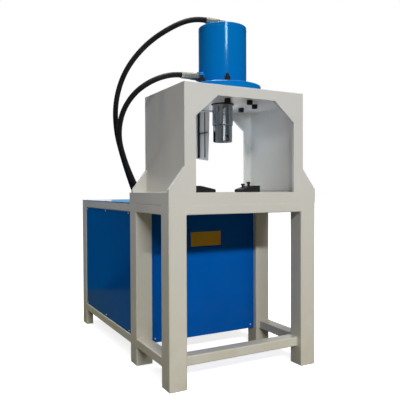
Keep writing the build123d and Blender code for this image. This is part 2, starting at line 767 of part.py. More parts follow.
def hose_grommets():
    """Rubber grommets in the top panel."""
    low = BED_LOW - GROMMET_LIP
    high = BED_LOW + TOP_SHEET_T + GROMMET_LIP
    rings = []
    for y in (UPPER_HOSE_Y, LOWER_HOSE_Y):
        ring = rod_z(GROMMET_R, BED_LOW + TOP_SHEET_T, high, HOSE_X, y)
        ring = fillet(ring.edges().group_by(Axis.Z)[-1], GROMMET_LIP / 2)
        ring += rod_z(GROMMET_HOLE_R, BED_LOW, BED_LOW + TOP_SHEET_T, HOSE_X, y)
        ring += rod_z(GROMMET_R, low, BED_LOW, HOSE_X, y)
        rings.append(ring - rod_z(GROMMET_BORE_R, low, high, HOSE_X, y))
    return group(rings)


# Die clamps
def clamp_strap(nose_x, length, slope, slot_ends):
    """A clamp strap on the right of the die: a sloped nose, two slots and a raised heel."""
    low = CLAMP_H - HEEL_STEP
    heel = length - HEEL_LEN
    profile = Polygon(
        (0, 0), (length, 0), (length, CLAMP_H), (heel, CLAMP_H), (heel - HEEL_STEP, low),
        (slope, low), (4, CLAMP_NOSE_H), (0, CLAMP_NOSE_H - 4), align=None,
    )
    strap = extrude(Plane.XZ * profile, amount=CLAMP_W / 2, both=True)
    strap = chamfer(strap.edges().filter_by(Axis.Y, reverse=True), EDGE_BREAK)
    first, last = slot_ends
    middle = (first + last) / 2
    for side in (-1, 1):
        slot = extrude(SlotOverall(last - first, CLAMP_SLOT_W), amount=CLAMP_H)
        strap -= Pos(middle, side * CLAMP_BOLT_DY, 0) * slot
    return Pos(nose_x, CLAMP_Y, BED_TOP + CLAMP_GAP) * strap


def clamp_bolt(x, y, head_low):
    """A low head cap screw in the bed."""
    head = rod_z(CLAMP_HEAD_R, head_low, head_low + CLAMP_HEAD_H, x, y)
    head = chamfer(head.edges().group_by(Axis.Z)[-1], EDGE_BREAK)
    head -= hex_z(CLAMP_SOCKET, head_low + CLAMP_HEAD_H / 2, head_low + CLAMP_HEAD_H, x, y)
    return head + rod_z(CLAMP_BOLT_R, BED_TOP - TAP_DEPTH + 5, head_low, x, y)


def die_clamp_bolts():
    """Two screws in each clamp, backed off so that the straps can slide."""
    rear_low = BED_TOP + CLAMP_H + 2
    front_low = rear_low + CLAMP_HEAD_H
    pieces = []
    for x in (-OUTER_HOLE_X, INNER_HOLE_X):
        pieces.append(clamp_bolt(x, CLAMP_Y - CLAMP_BOLT_DY, front_low))
        pieces.append(clamp_bolt(x, CLAMP_Y + CLAMP_BOLT_DY, rear_low))
    return group(pieces)


# Power pack
def oil_tank():
    """The closed oil tank under the motor."""
    floor = CABINET_RAIL_Z + RAIL
    tank = block(-TANK_X, TANK_X, TANK_Y[0], TANK_Y[1], floor, TANK_TOP)
    tank = fillet(tank.edges().filter_by(Axis.Z), 5 * TANK_WALL)
    inner = block(-TANK_X + TANK_WALL, TANK_X - TANK_WALL, TANK_Y[0] + TANK_WALL,
                  TANK_Y[1] - TANK_WALL, floor + TANK_WALL, TANK_TOP - TANK_WALL)
    return tank - fillet(inner.edges().filter_by(Axis.Z), 4 * TANK_WALL)


def motor_body():
    """The motor frame with fins, feet, terminal box, bearings and fan cowl."""
    start, end = MOTOR_Y
    cowl = end - COWL_LEN
    body = rod_y(MOTOR_R - 12, start, cowl, MOTOR_X, MOTOR_Z)
    for n in range(MOTOR_FINS):
        fin = Pos(MOTOR_R - MOTOR_FIN_H / 2, 0, 0) * Box(MOTOR_FIN_H, MOTOR_FIN_T, cowl - start - 40)
        turn = Pos(MOTOR_X, (start + cowl) / 2, MOTOR_Z) * Rot(90, 0, 0)
        body += turn * Rot(0, 0, 360.0 * n / MOTOR_FINS) * fin
    body += rod_y(MOTOR_R + 3, cowl, end, MOTOR_X, MOTOR_Z)
    body += block(MOTOR_X - 80, MOTOR_X + 80, start + 30, cowl - 30, TANK_TOP, MOTOR_Z - 70)
    body += block(MOTOR_X - 40, MOTOR_X + 40, start + 60, start + 150, MOTOR_Z + 60, MOTOR_Z + 140)
    body -= rod_y(ROTOR_R + 1.5, start + 25, cowl - 20, MOTOR_X, MOTOR_Z)
    body -= rod_y(MOTOR_R - 8, cowl + 10, end - 12, MOTOR_X, MOTOR_Z)
    body -= rod_y(SHAFT_R + ROD_CLEAR, start, cowl + 10, MOTOR_X, MOTOR_Z)
    for n in range(VENT_COUNT):
        turn = 2 * math.pi * n / VENT_COUNT
        vent_x = MOTOR_X + VENT_CIRCLE_R * math.cos(turn)
        vent_z = MOTOR_Z + VENT_CIRCLE_R * math.sin(turn)
        body -= rod_y(VENT_R, end - 12, end, vent_x, vent_z)
    return body


def motor_rotor():
    """The rotor: shaft, core, fan and coupling."""
    start, end = MOTOR_Y
    cowl = end - COWL_LEN
    coupling_end = start - 20
    rotor = rod_y(SHAFT_R, coupling_end, cowl + 40, MOTOR_X, MOTOR_Z)
    rotor += rod_y(ROTOR_R, start + 35, cowl - 30, MOTOR_X, MOTOR_Z)
    rotor += rod_y(FAN_HUB_R, cowl + 20, cowl + 50, MOTOR_X, MOTOR_Z)
    for n in range(FAN_BLADES):
        blade = Pos(FAN_R / 2 + 10, 0, 0) * Box(FAN_R - 20, FAN_T, 26)
        turn = Pos(MOTOR_X, cowl + 35, MOTOR_Z) * Rot(90, 0, 0)
        rotor += turn * Rot(0, 0, 360.0 * n / FAN_BLADES) * blade
    rotor += rod_y(COUPLING_R, PUMP_Y[1] + 25, coupling_end, MOTOR_X, MOTOR_Z)
    return rotor - rod_y(GEAR_SHAFT_R, PUMP_Y[1] + 25, coupling_end - 20, MOTOR_X, MOTOR_Z)


def bell_housing():
    """The bell that joins pump and motor around the coupling."""
    start = PUMP_Y[1]
    end = MOTOR_Y[0]
    bell = rod_y(70, start, end, MOTOR_X, MOTOR_Z)
    bell += rod_y(MOTOR_R - 15, end - 10, end, MOTOR_X, MOTOR_Z)
    bell -= rod_y(COUPLING_R + 15, start + 10, end, MOTOR_X, MOTOR_Z)
    return bell - rod_y(GEAR_SHAFT_R + 6, start, start + 10, MOTOR_X, MOTOR_Z)


GEAR_PITCH_R = GEAR_MODULE * GEAR_TEETH / 2
GEAR_TIP_R = GEAR_PITCH_R + 0.9 * GEAR_MODULE
GEAR_ROOT_R = GEAR_PITCH_R - 1.2 * GEAR_MODULE
DRIVEN_Z = MOTOR_Z + 2 * GEAR_PITCH_R
FLANK_STEPS = 6


def involute(angle):
    """The involute function of an angle."""
    return math.tan(angle) - angle


def half_tooth(radius):
    """Half the angle that a tooth takes at a radius."""
    pressure = math.radians(GEAR_ANGLE)
    base = GEAR_PITCH_R * math.cos(pressure)
    thick = math.pi * GEAR_MODULE / 2 - GEAR_BACKLASH
    there = math.acos(base / max(radius, base))
    return thick / (2 * GEAR_PITCH_R) + involute(pressure) - involute(there)


def gear(first_tooth):
    """A spur gear in the plane XY, with one tooth at the given angle."""
    base = GEAR_PITCH_R * math.cos(math.radians(GEAR_ANGLE))
    radii = [GEAR_ROOT_R]
    radii += [base + (GEAR_TIP_R - base) * n / FLANK_STEPS for n in range(FLANK_STEPS + 1)]
    outline = []
    for tooth in range(GEAR_TEETH):
        middle = math.radians(first_tooth) + 2 * math.pi * tooth / GEAR_TEETH
        flank = [(r, middle - half_tooth(r)) for r in radii]
        flank += [(r, middle + half_tooth(r)) for r in reversed(radii)]
        outline += [(r * math.cos(a), r * math.sin(a)) for r, a in flank]
    return extrude(Polygon(*outline, align=None), amount=GEAR_Y[1] - GEAR_Y[0])


def gear_at(first_tooth, z):
    """A pump gear in its chamber."""
    return Pos(MOTOR_X, GEAR_Y[1], z) * Rot(90, 0, 0) * gear(first_tooth)


def pump_drive_gear():
    """The driven shaft of the pump with its gear, in the coupling."""
    end = MOTOR_Y[0] - 42
    return gear_at(90, MOTOR_Z) + rod_y(GEAR_SHAFT_R, PUMP_Y[0] + 12, end, MOTOR_X, MOTOR_Z)


def pump_driven_gear():
    """The idler gear of the pump, in mesh with the drive gear."""
    wheel = gear_at(-90 + 180.0 / GEAR_TEETH, DRIVEN_Z)
    return wheel + rod_y(GEAR_SHAFT_R, PUMP_Y[0] + 12, GEAR_Y[1] + 18, MOTOR_X, DRIVEN_Z)


def pump_body():
    """The pump housing around both gears."""
    body = block(MOTOR_X - 50, MOTOR_X + 50, PUMP_Y[0], PUMP_Y[1], MOTOR_Z - 42, DRIVEN_Z + 42)
    body = fillet(body.edges().filter_by(Axis.Y), 12)
    for z in (MOTOR_Z, DRIVEN_Z):
        body -= rod_y(GEAR_TIP_R + 0.15, GEAR_Y[0] - 0.1, GEAR_Y[1] + 0.1, MOTOR_X, z)
    body -= rod_y(GEAR_SHAFT_R + ROD_CLEAR, PUMP_Y[0] + 11, PUMP_Y[1], MOTOR_X, MOTOR_Z)
    body -= rod_y(GEAR_SHAFT_R + ROD_CLEAR, PUMP_Y[0] + 11, GEAR_Y[1] + 19, MOTOR_X, DRIVEN_Z)
    return body


def pump_pipes():
    """The suction pipe from the tank and the pressure pipe to the valve block."""
    middle_y = (GEAR_Y[0] + GEAR_Y[1]) / 2
    middle_x = (VALVE_X[0] + VALVE_X[1]) / 2
    suction = rod_z(1.5 * PIPE_R, TANK_TOP, MOTOR_Z - 42, MOTOR_X, middle_y)
    pipe_z = (VALVE_Z[0] + VALVE_Z[1]) / 2 - 20
    corner = (middle_x, middle_y, pipe_z)
    start = (MOTOR_X - 50, middle_y, pipe_z)
    path = FilletPolyline(start, corner, (middle_x, VALVE_Y[1], pipe_z), radius=2 * PIPE_R)
    pressure = sweep(Plane(origin=start, z_dir=(-1, 0, 0)) * Circle(PIPE_R), path=path)
    return group([suction, pressure])


def manifold_block():
    """The manifold on its stand, with a hex port under each hose."""
    port_top = HOSE_END_Z - FERRULE_LEN - SWIVEL_LEN
    manifold = block(*VALVE_X, *VALVE_Y, *VALVE_Z)
    manifold = chamfer(manifold.edges(), 2 * EDGE_BREAK)
    for y0 in (VALVE_Y[0] + 4, VALVE_Y[1] - 14):
        manifold += block(VALVE_X[0] + 4, VALVE_X[1] - 4, y0, y0 + 10, TANK_TOP, VALVE_Z[0])
    for y in (UPPER_HOSE_Y, LOWER_HOSE_Y):
        manifold += hex_z(SWIVEL_FLATS, VALVE_Z[1], port_top, HOSE_X, y)
        manifold += rod_z(NOSE_R, port_top, port_top + NOSE_LEN, HOSE_X, y)
    return manifold


def solenoid_valve():
    """The directional valve on the side of the manifold, a coil at each end."""
    x0 = VALVE_X[1]
    middle = (VALVE_Y[0] + VALVE_Y[1]) / 2
    z = (VALVE_Z[0] + VALVE_Z[1]) / 2
    valve = block(x0, x0 + 60, middle - 35, middle + 35, z - 30, z + 30)
    valve += rod_y(COIL_R, middle - COIL_REACH, middle + COIL_REACH, x0 + 32, z)
    return valve


# Control box
def control_box_body():
    """The flat box, open on the right, with two hinge pins at its back edge."""
    x0, x1 = BOX_X
    y0, y1 = BOX_Y
    z0, z1 = BOX_Z
    box = block(x0, x1, y0, y1, z0, z1)
    box = fillet(box.edges().filter_by(Axis.X), 2 * EDGE_BREAK)
    box -= block(x0 + BOX_WALL, x1, y0 + BOX_WALL, y1 - BOX_WALL, z0 + BOX_WALL, z1 - BOX_WALL)
    for z in HINGE_Z:
        low = z - DOOR_GAP
        high = z + HINGE_LEN + DOOR_GAP
        for leaf in ((low - 8, low), (high, high + 8)):
            box += block(x1 - 12, HINGE_X + HINGE_PIN_R, y1, HINGE_Y + HINGE_PIN_R, *leaf)
        box += rod_z(HINGE_PIN_R, low, high, HINGE_X, HINGE_Y)
    return box


def control_box_door():
    """The door on the right of the box, with a bezel round each button."""
    x0 = BOX_X[1] + DOOR_GAP
    x1 = x0 + BOX_WALL
    door = block(x0, x1, BOX_Y[0] + 2, BOX_Y[1] - 2, BOX_Z[0] + 2, BOX_Z[1] - 2)
    for z, hole in ((START_Z, BUTTON_R), (STOP_Z, BUTTON_R), (ESTOP_Z, ESTOP_STEM_R)):
        door += rod_x(hole + 4, x1, x1 + BEZEL_H, BUTTON_Y, z)
        door -= rod_x(hole + BUTTON_CLEAR, x0, x1 + BEZEL_H, BUTTON_Y, z)
    for z in HINGE_Z:
        high = z + HINGE_LEN
        knuckle = rod_z(HINGE_R, z, high, HINGE_X, HINGE_Y)
        knuckle += block(x0, x1, BOX_Y[1] - 4, HINGE_Y, z, high)
        door += knuckle - rod_z(HINGE_PIN_R + HINGE_CLEAR, z, high, HINGE_X, HINGE_Y)
    return door


def control_box_hanger():
    """The plate that carries the box, with a bent flange on the rear plate."""
    head_rear = FRONT + HEAD_D
    x0, x1 = BOX_X
    outline = Polygon(
        (head_rear, HEAD_TOP), (head_rear, WINDOW_TOP), (HANGER_LOW_Y, HANGER_LOW_Z),
        (BOX_Y[1], BOX_Z[0]), (BOX_Y[1], HEAD_TOP), align=None,
    )
    plate = extrude(Plane.YZ * outline, amount=HANGER_T, dir=(1, 0, 0))
    plate = Pos(x0 - HANGER_T, 0, 0) * plate
    return plate + block(x0, x1, head_rear, head_rear + HANGER_T, WINDOW_TOP + HANGER_T, HEAD_TOP)


def cable_trunking():
    """Black cable trunking on the plate: a wide upright and two thin branches."""
    x1 = BOX_X[0] - HANGER_T
    low, high = HANGER_LOW_Z + 18, BOX_Z[1] - 4
    wide = block(x1 - 8, x1, *TRUNK_WIDE_Y, low, high)
    thin = block(x1 - 3, x1, *TRUNK_THIN_Y, low, high)
    return wide + thin + block(x1 - 4, x1, HANGER_LOW_Y - 4, TRUNK_WIDE_Y[0], *TRUNK_BRANCH_Z)


def push_button(z):
    """A flat push button with its plunger."""
    face = BOX_X[1] + DOOR_GAP + BOX_WALL + BEZEL_H + 4
    cap = rod_x(BUTTON_R, face - 14, face, BUTTON_Y, z)
    cap = fillet(cap.edges().group_by(Axis.X)[-1], EDGE_BREAK)
    return cap + rod_x(BUTTON_R - 4, face - 26, face - 14, BUTTON_Y, z)


def emergency_stop():
    """The mushroom button."""
    under = BOX_X[1] + DOOR_GAP + BOX_WALL + BEZEL_H + 5
    cap = rod_x(ESTOP_R, under, under + 11, BUTTON_Y, ESTOP_Z)
    cap = fillet(cap.edges().group_by(Axis.X)[-1], 6 * EDGE_BREAK)
    return cap + rod_x(ESTOP_STEM_R, under - 26, under, BUTTON_Y, ESTOP_Z)


def all_nodes():
    """Every piece by its name."""
    leg_x = WIDTH / 2 - LEG / 2
    leg_front = FRONT + LEG / 2
    leg_rear = TABLE_REAR - LEG / 2
    side_plate = left_side_plate()
    stretcher = left_stretcher()
    side_panel = left_panel()
    return {
        "front_plate": head_plate(FRONT),
        "rear_plate": head_plate(FRONT + HEAD_D - PLATE_T),
        "left_side_plate": side_plate,
        "right_side_plate": mirrored(side_plate),
        "crown_plate": crown_plate(),
        "bed_plate": bed_plate(),
        "front_left_leg": leg(-leg_x, leg_front),
        "front_right_leg": leg(leg_x, leg_front),
        "rear_left_leg": leg(-leg_x, leg_rear),
        "rear_right_leg": leg(leg_x, leg_rear),
        "table_rails": table_rails(),
        "front_stretcher": front_stretcher(),
        "left_stretcher": stretcher,
        "right_stretcher": mirrored(stretcher),
        "rear_posts": rear_posts(),
        "cabinet_rails": cabinet_rails(),
        "front_panel": front_panel(),
        "left_panel": side_panel,
        "right_panel": mirrored(side_panel),
        "rear_panel": rear_panel(),
        "top_panel": top_panel(),
        "panel_screws": panel_screws(),
        "label_plate": label_plate(),
        "cylinder_barrel": cylinder_barrel(),
        "cylinder_flange": cylinder_flange(),
        "cylinder_end_cap": cylinder_end_cap(),
        "gland_bush": gland_bush(),
        "wiper_ring": wiper_ring(),
        "piston": piston(),
        "piston_seals": piston_seals(),
        "piston_rod": piston_rod(),
        "tool_holder": tool_holder(),
        "tool_set_screw": tool_set_screw(),
        "flange_bolts": flange_bolts(),
        "upper_port_elbow": upper_port_elbow(),
        "lower_port_adapter": lower_port_adapter(),
        "upper_hose": hose("upper_hose", UPPER_ROUTE),
        "lower_hose": hose("lower_hose", LOWER_ROUTE),
        "upper_hose_ends": hose_ends(UPPER_FERRULE_END, UPPER_PORT_Z, UPPER_HOSE_Y),
        "lower_hose_ends": hose_ends(LOWER_FERRULE_END, LOWER_PORT_Z, LOWER_HOSE_Y),
        "hose_grommets": hose_grommets(),
        "left_die_clamp": mirrored(clamp_strap(*LEFT_CLAMP)),
        "right_die_clamp": clamp_strap(*RIGHT_CLAMP),
        "die_clamp_bolts": die_clamp_bolts(),
        "oil_tank": oil_tank(),
        "motor_body": motor_body(),
        "motor_rotor": motor_rotor(),
        "bell_housing": bell_housing(),
        "pump_body": pump_body(),
        "pump_drive_gear": pump_drive_gear(),
        "pump_driven_gear": pump_driven_gear(),
        "pump_pipes": pump_pipes(),
        "valve_block": group([manifold_block(), solenoid_valve()]),
        "control_box_body": control_box_body(),
        "control_box_door": control_box_door(),
        "control_box_hanger": control_box_hanger(),
        "cable_trunking": cable_trunking(),
        "start_button": push_button(START_Z),
        "stop_button": push_button(STOP_Z),
        "emergency_stop": emergency_stop(),
    }


def main():
    os.makedirs("parts", exist_ok=True)
    nodes = all_nodes()
    print("stroke", STROKE, "of", PISTON_LOW - GLAND_TOP, "free under the piston")
    for name, piece in nodes.items():
        export_step(piece, f"parts/{name}.step")
    print(len(nodes), "nodes written")


main()
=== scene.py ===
# %% [markdown]
# # A hydraulic hole punching machine
#
# The machine is a welded table with a portal head. A cylinder on the head drives a ram down
# into a work window, and the cabinet behind the table holds the power pack.
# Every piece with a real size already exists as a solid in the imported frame, so the lesson
# starts by loading that frame. What is left for Blender is the looks: light, paint, metal,
# rubber, weld beads and the two hoses.

# %% Load the frame
import json
import math

import bmesh
import bpy
from mathutils import Matrix, Vector

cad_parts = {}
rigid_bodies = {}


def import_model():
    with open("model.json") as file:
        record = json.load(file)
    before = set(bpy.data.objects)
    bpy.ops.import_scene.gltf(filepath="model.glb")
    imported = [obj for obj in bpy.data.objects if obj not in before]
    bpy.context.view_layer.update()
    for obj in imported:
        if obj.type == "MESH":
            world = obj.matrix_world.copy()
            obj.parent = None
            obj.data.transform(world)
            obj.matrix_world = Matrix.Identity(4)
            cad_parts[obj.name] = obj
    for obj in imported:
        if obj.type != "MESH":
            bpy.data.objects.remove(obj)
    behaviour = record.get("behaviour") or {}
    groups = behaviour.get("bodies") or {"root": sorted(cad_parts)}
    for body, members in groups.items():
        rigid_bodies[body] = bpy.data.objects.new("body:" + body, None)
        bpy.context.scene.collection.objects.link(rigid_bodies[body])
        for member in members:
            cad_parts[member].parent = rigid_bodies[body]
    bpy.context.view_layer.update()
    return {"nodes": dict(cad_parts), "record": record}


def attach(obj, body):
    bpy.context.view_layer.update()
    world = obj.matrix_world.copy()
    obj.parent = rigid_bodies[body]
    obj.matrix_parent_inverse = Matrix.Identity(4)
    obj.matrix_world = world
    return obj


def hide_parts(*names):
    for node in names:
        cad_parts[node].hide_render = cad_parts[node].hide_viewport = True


for stray in list(bpy.data.objects):
    bpy.data.objects.remove(stray)
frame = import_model()
nodes = frame["nodes"]
scene = bpy.context.scene
scene.view_settings.view_transform = "Standard"

# %% [markdown]
# ## Camera
#
# The photographer stood to the left of the machine's front, with the lens a little above the
# bed. A camera can be aimed at a target with a constraint, but then its roll is out of our
# hands. Here a matrix is built from a place and three turns: the heading, the tilt and a very
# small roll. The focal length is known in pixels, and a 36 mm sensor turns it into a lens.

# %% Camera at the photographer's place
IMAGE_SIZE = 400
FOCAL_PIXELS = 506.3
SHIFT_PIXELS = (1.0, -0.3)
EYE = Vector((-1.1983, -2.4435, 0.8058))
HEADING = math.radians(-28.03)
TILT = math.radians(90 - 1.10)
ROLL = math.radians(-0.22)
lens = bpy.data.cameras.new("camera")
lens.sensor_width = 36
lens.lens = lens.sensor_width * FOCAL_PIXELS / IMAGE_SIZE
lens.shift_x = SHIFT_PIXELS[0] / IMAGE_SIZE
lens.shift_y = SHIFT_PIXELS[1] / IMAGE_SIZE
lens.clip_end = 200
camera = bpy.data.objects.new("camera", lens)
turn = Matrix.Rotation(HEADING, 4, "Z") @ Matrix.Rotation(TILT, 4, "X") @ Matrix.Rotation(ROLL, 4, "Z")
camera.matrix_world = Matrix.Translation(EYE) @ turn
scene.collection.objects.link(camera)
scene.camera = camera
print("camera: lens", round(lens.lens, 2), "mm")

# %% [markdown]
# ## Small helpers for node trees
#
# Shader trees in Python get long quickly. Two helpers keep them readable: one adds a node and
# sets its options and its unlinked sockets, the other links an output to a named input.
# A third does sums, because almost every mask needs a few.

# %% Node helpers
def add_node(tree, kind, values=None, **options):
    """A shader node with its options and the values of its sockets."""
    node = tree.nodes.new("ShaderNode" + kind)
    for name, value in options.items():
        setattr(node, name, value)
    for socket, value in (values or {}).items():
        node.inputs[socket].default_value = value
    return node


def link(tree, output, node, socket):
    """A wire from an output to an input."""
    tree.links.new(output, node.inputs[socket])


def math_node(tree, operation, first, second):
    """A Math node; each side is an output or a number."""
    node = add_node(tree, "Math", operation=operation)
    for index, side in enumerate((first, second)):
        if isinstance(side, (int, float)):
            node.inputs[index].default_value = side
        else:
            link(tree, side, node, index)
    return node.outputs[0]


print("node helpers ready")

# %% [markdown]
# ## White surroundings
#
# The machine stands on white. A very bright world would give white too, but it would wash out
# every colour. So the world is white only to rays that see it directly, and gives the surfaces
# a much weaker light. That light leans: it is a plain tone plus a share of the direction's X, Y
# and Z, so it comes more from behind and less from straight above, as in a hall with a bright
# rear wall. A Mix node has sockets for every kind of data, and its colour ones are found by number.

# %% World
SOFT_LIGHT = (0.20, 0.19, 0.19)
LEANS = {"X": (0.02, 0.01, 0.01), "Y": (0.145, 0.145, 0.165), "Z": (-0.04, -0.04, -0.04)}
WHITE = (1, 1, 1, 1)
COLOUR_A, COLOUR_B, COLOUR_MIXED = 6, 7, 2


def seen_directly(tree):
    """1 for rays from the camera, from a reflection or through glass."""
    path = add_node(tree, "LightPath")
    mirror = math_node(tree, "MAXIMUM", path.outputs["Is Glossy Ray"], path.outputs["Is Transmission Ray"])
    return math_node(tree, "MAXIMUM", path.outputs["Is Camera Ray"], mirror)


world = bpy.data.worlds.new("studio")
world.use_nodes = True
scene.world = world
sky = world.node_tree.nodes["Background"]
towards = add_node(world.node_tree, "SeparateXYZ")
link(world.node_tree, add_node(world.node_tree, "TexCoord").outputs["Generated"], towards, 0)
soft = add_node(world.node_tree, "VectorMath", {0: SOFT_LIGHT}, operation="ADD")
for axis, lean in LEANS.items():
    share = add_node(world.node_tree, "VectorMath", {0: lean}, operation="SCALE")
    link(world.node_tree, towards.outputs[axis], share, "Scale")
    link(world.node_tree, share.outputs[0], soft, 1)
    total = add_node(world.node_tree, "VectorMath", operation="ADD")
    link(world.node_tree, soft.outputs[0], total, 0)
    soft = total
sky_mix = add_node(world.node_tree, "Mix", {COLOUR_B: WHITE}, data_type="RGBA")
link(world.node_tree, seen_directly(world.node_tree), sky_mix, 0)
link(world.node_tree, soft.outputs[0], sky_mix, COLOUR_A)
link(world.node_tree, sky_mix.outputs[COLOUR_MIXED], sky, "Color")
print("world: soft light", SOFT_LIGHT, "leaning", LEANS)

# %% [markdown]
# ## Floor
#
# The floor is white in the same way. A plain white plane would throw too much light up at the
# machine, so rays that bounce off it meet a duller tone. Part of its white comes from the lamps,
# so it keeps a faint shadow, and it glows a little more far away, where it meets the world.

# %% Floor
FLOOR_HALF = 40
FLOOR_TONE = (0.19, 0.175, 0.13, 1)
FLOOR_PALE = (0.80, 0.80, 0.80, 1)
NEAR_GLOW, FAR_GLOW = 0.80, 1.0
NEAR, FAR = 1.5, 4.0
floor_paint = bpy.data.materials.new("floor_white")
floor_paint.use_nodes = True
floor_tree = floor_paint.node_tree
floor_tree.nodes.clear()
dull = add_node(floor_tree, "BsdfDiffuse", {"Color": FLOOR_TONE})
pale = add_node(floor_tree, "BsdfDiffuse", {"Color": FLOOR_PALE})
glow = add_node(floor_tree, "Emission", {"Color": WHITE})
place = add_node(floor_tree, "TexCoord")
reach = add_node(floor_tree, "VectorMath", operation="LENGTH")
link(floor_tree, place.outputs["Object"], reach, 0)
fade = add_node(floor_tree, "MapRange", {"From Min": NEAR, "From Max": FAR,
                                         "To Min": NEAR_GLOW, "To Max": FAR_GLOW})
link(floor_tree, reach.outputs["Value"], fade, "Value")
link(floor_tree, fade.outputs[0], glow, "Strength")
white = add_node(floor_tree, "AddShader")
link(floor_tree, pale.outputs[0], white, 0)
link(floor_tree, glow.outputs[0], white, 1)
floor_mix = add_node(floor_tree, "MixShader")
link(floor_tree, seen_directly(floor_tree), floor_mix, 0)
link(floor_tree, dull.outputs[0], floor_mix, 1)
link(floor_tree, white.outputs[0], floor_mix, 2)
floor_out = add_node(floor_tree, "OutputMaterial")
link(floor_tree, floor_mix.outputs[0], floor_out, "Surface")

sheet = bmesh.new()
bmesh.ops.create_grid(sheet, x_segments=1, y_segments=1, size=FLOOR_HALF)
floor_mesh = bpy.data.meshes.new("floor")
sheet.to_mesh(floor_mesh)
sheet.free()
floor_mesh.materials.append(floor_paint)
floor = bpy.data.objects.new("floor", floor_mesh)
scene.collection.objects.link(floor)
print("floor:", 2 * FLOOR_HALF, "m square")

# %% [markdown]
# ## Lamps
#
# The shadow of the bed on the front panel has a sharp lower edge, while the legs leave no
# clear shadow. That speaks for a lamp that is wide but not high, so the key light is a long
# strip in front of the machine; a round lamp would give each leg a shadow of its own. A warm hall
# lamp above brightens the bed.

# %% Key light and hall lamp
def strip_lamp(name, aim, azimuth, elevation, distance, size, power, colour=(1, 1, 1), spread=180):
    """A rectangular lamp that looks at a point; the azimuth is to the left of the front."""
    left = math.radians(azimuth)
    up = math.radians(elevation)
    away = Vector((-math.sin(left) * math.cos(up), -math.cos(left) * math.cos(up), math.sin(up)))
    data = bpy.data.lights.new(name, "AREA")
    data.shape = "RECTANGLE"
    data.size, data.size_y = size
    data.energy = power
    data.color = colour
    data.spread = math.radians(spread)
    lamp = bpy.data.objects.new(name, data)
    facing = away.to_track_quat("Z", "Y").to_matrix().to_4x4()
    lamp.matrix_world = Matrix.Translation(Vector(aim) + away * distance) @ facing
    scene.collection.objects.link(lamp)
    return lamp


key = strip_lamp("key_strip", aim=(0, -0.63, 0.7), azimuth=9, elevation=28.6, distance=7.0,
                 size=(5.0, 0.25), power=455)
hall = strip_lamp("hall_lamp", aim=(0, 0, 0), azimuth=100, elevation=86, distance=6.0,
                  size=(2.5, 2.5), power=300, colour=(1.0, 0.97, 0.92))
print("lamps:", key.name, hall.name)

# %% [markdown]
# ## Cards
#
# The key light hardly reaches the inside of the head. A photographer would hold white cards there,
# and a small bluish lamp can stand for each card: one on the cabinet for the underside of the
# crown, and three in the work window for the right plate, its rear corner and the jamb beside it. A
# small spread keeps a lamp's light on the face that it is meant for. The key and the cards stay out
# of reflections, where they would show as bright patches.

# %% Cards for the inside of the head
card = strip_lamp("card_bounce", aim=(0.077, -0.26, 1.176), azimuth=166, elevation=-50.5, distance=0.5,
                  size=(0.50, 0.35), power=3.4, colour=(0.9, 0.95, 1.0))
bed_card = strip_lamp("bed_card", aim=(0.284, -0.36, 1.15), azimuth=48, elevation=-24, distance=0.40,
                      size=(0.10, 0.10), power=0.04, colour=(0.9, 0.95, 1.0), spread=70)
corner_card = strip_lamp("corner_card", aim=(0.284, -0.236, 1.03), azimuth=45, elevation=0, distance=0.40,
                         size=(0.03, 0.40), power=0.02, colour=(0.75, 0.9, 1.0), spread=16)
jamb_card = strip_lamp("jamb_card", aim=(0.262, -0.236, 1.10), azimuth=12, elevation=-28, distance=0.36,
                       size=(0.05, 0.05), power=0.016, colour=(0.8, 0.9, 1.0), spread=36)
for lamp in (key, card, bed_card, corner_card, jamb_card):
    lamp.visible_glossy = False
print("cards:", card.name, bed_card.name, corner_card.name, jamb_card.name)

# %% [markdown]
# ## Bright lines
#
# The barrel and the ram each show one bright line. A strip of lamps in the hall makes such lines,
# and here two rectangles do, which light nothing but reflections. The width of a rectangle sets how
# broad its line is, and the height sets where the line ends.

# %% Bright lines on the barrel and the ram
barrel_streak = strip_lamp("barrel_streak", aim=(0, -0.43, 1.45), azimuth=12, elevation=19, distance=5.0,
                           size=(0.80, 0.65), power=52, colour=(0.65, 1.0, 1.0))
ram_streak = strip_lamp("ram_streak", aim=(0, -0.43, 1.09), azimuth=12, elevation=5.2, distance=5.0,
                        size=(2.0, 0.28), power=5)
for lamp in (barrel_streak, ram_streak):
    lamp.visible_diffuse = False
print("lamps in all:", len(bpy.data.lights))

# %% [markdown]
# ## Cloths that paint reflections
#
# Gloss paint mirrors its surroundings, and a white room would turn the blue milky. Photographers
# hang dark cloth round a glossy object for that, and lay a grey one on the floor. Here each cloth
# is one edge, spun about the machine. Two gaps behind stay white: one for the underside of the
# crown, one below a pelmet for the inner side of the head. The cloths are seen by reflections alone,
# and each glows with the tone that it should show there, so they are painted reflections. A blue
# cloth with an olive mat near its foot paints what the cabinet's long side mirrors, and a steel blue
# strip paints what its top mirrors, because these sheets show those tones. Two grey bands paint the
# ram's tones where the ram mirrors them.

# %% A cloth that paints reflections, spun about the machine
CLOTH_STEPS = 48


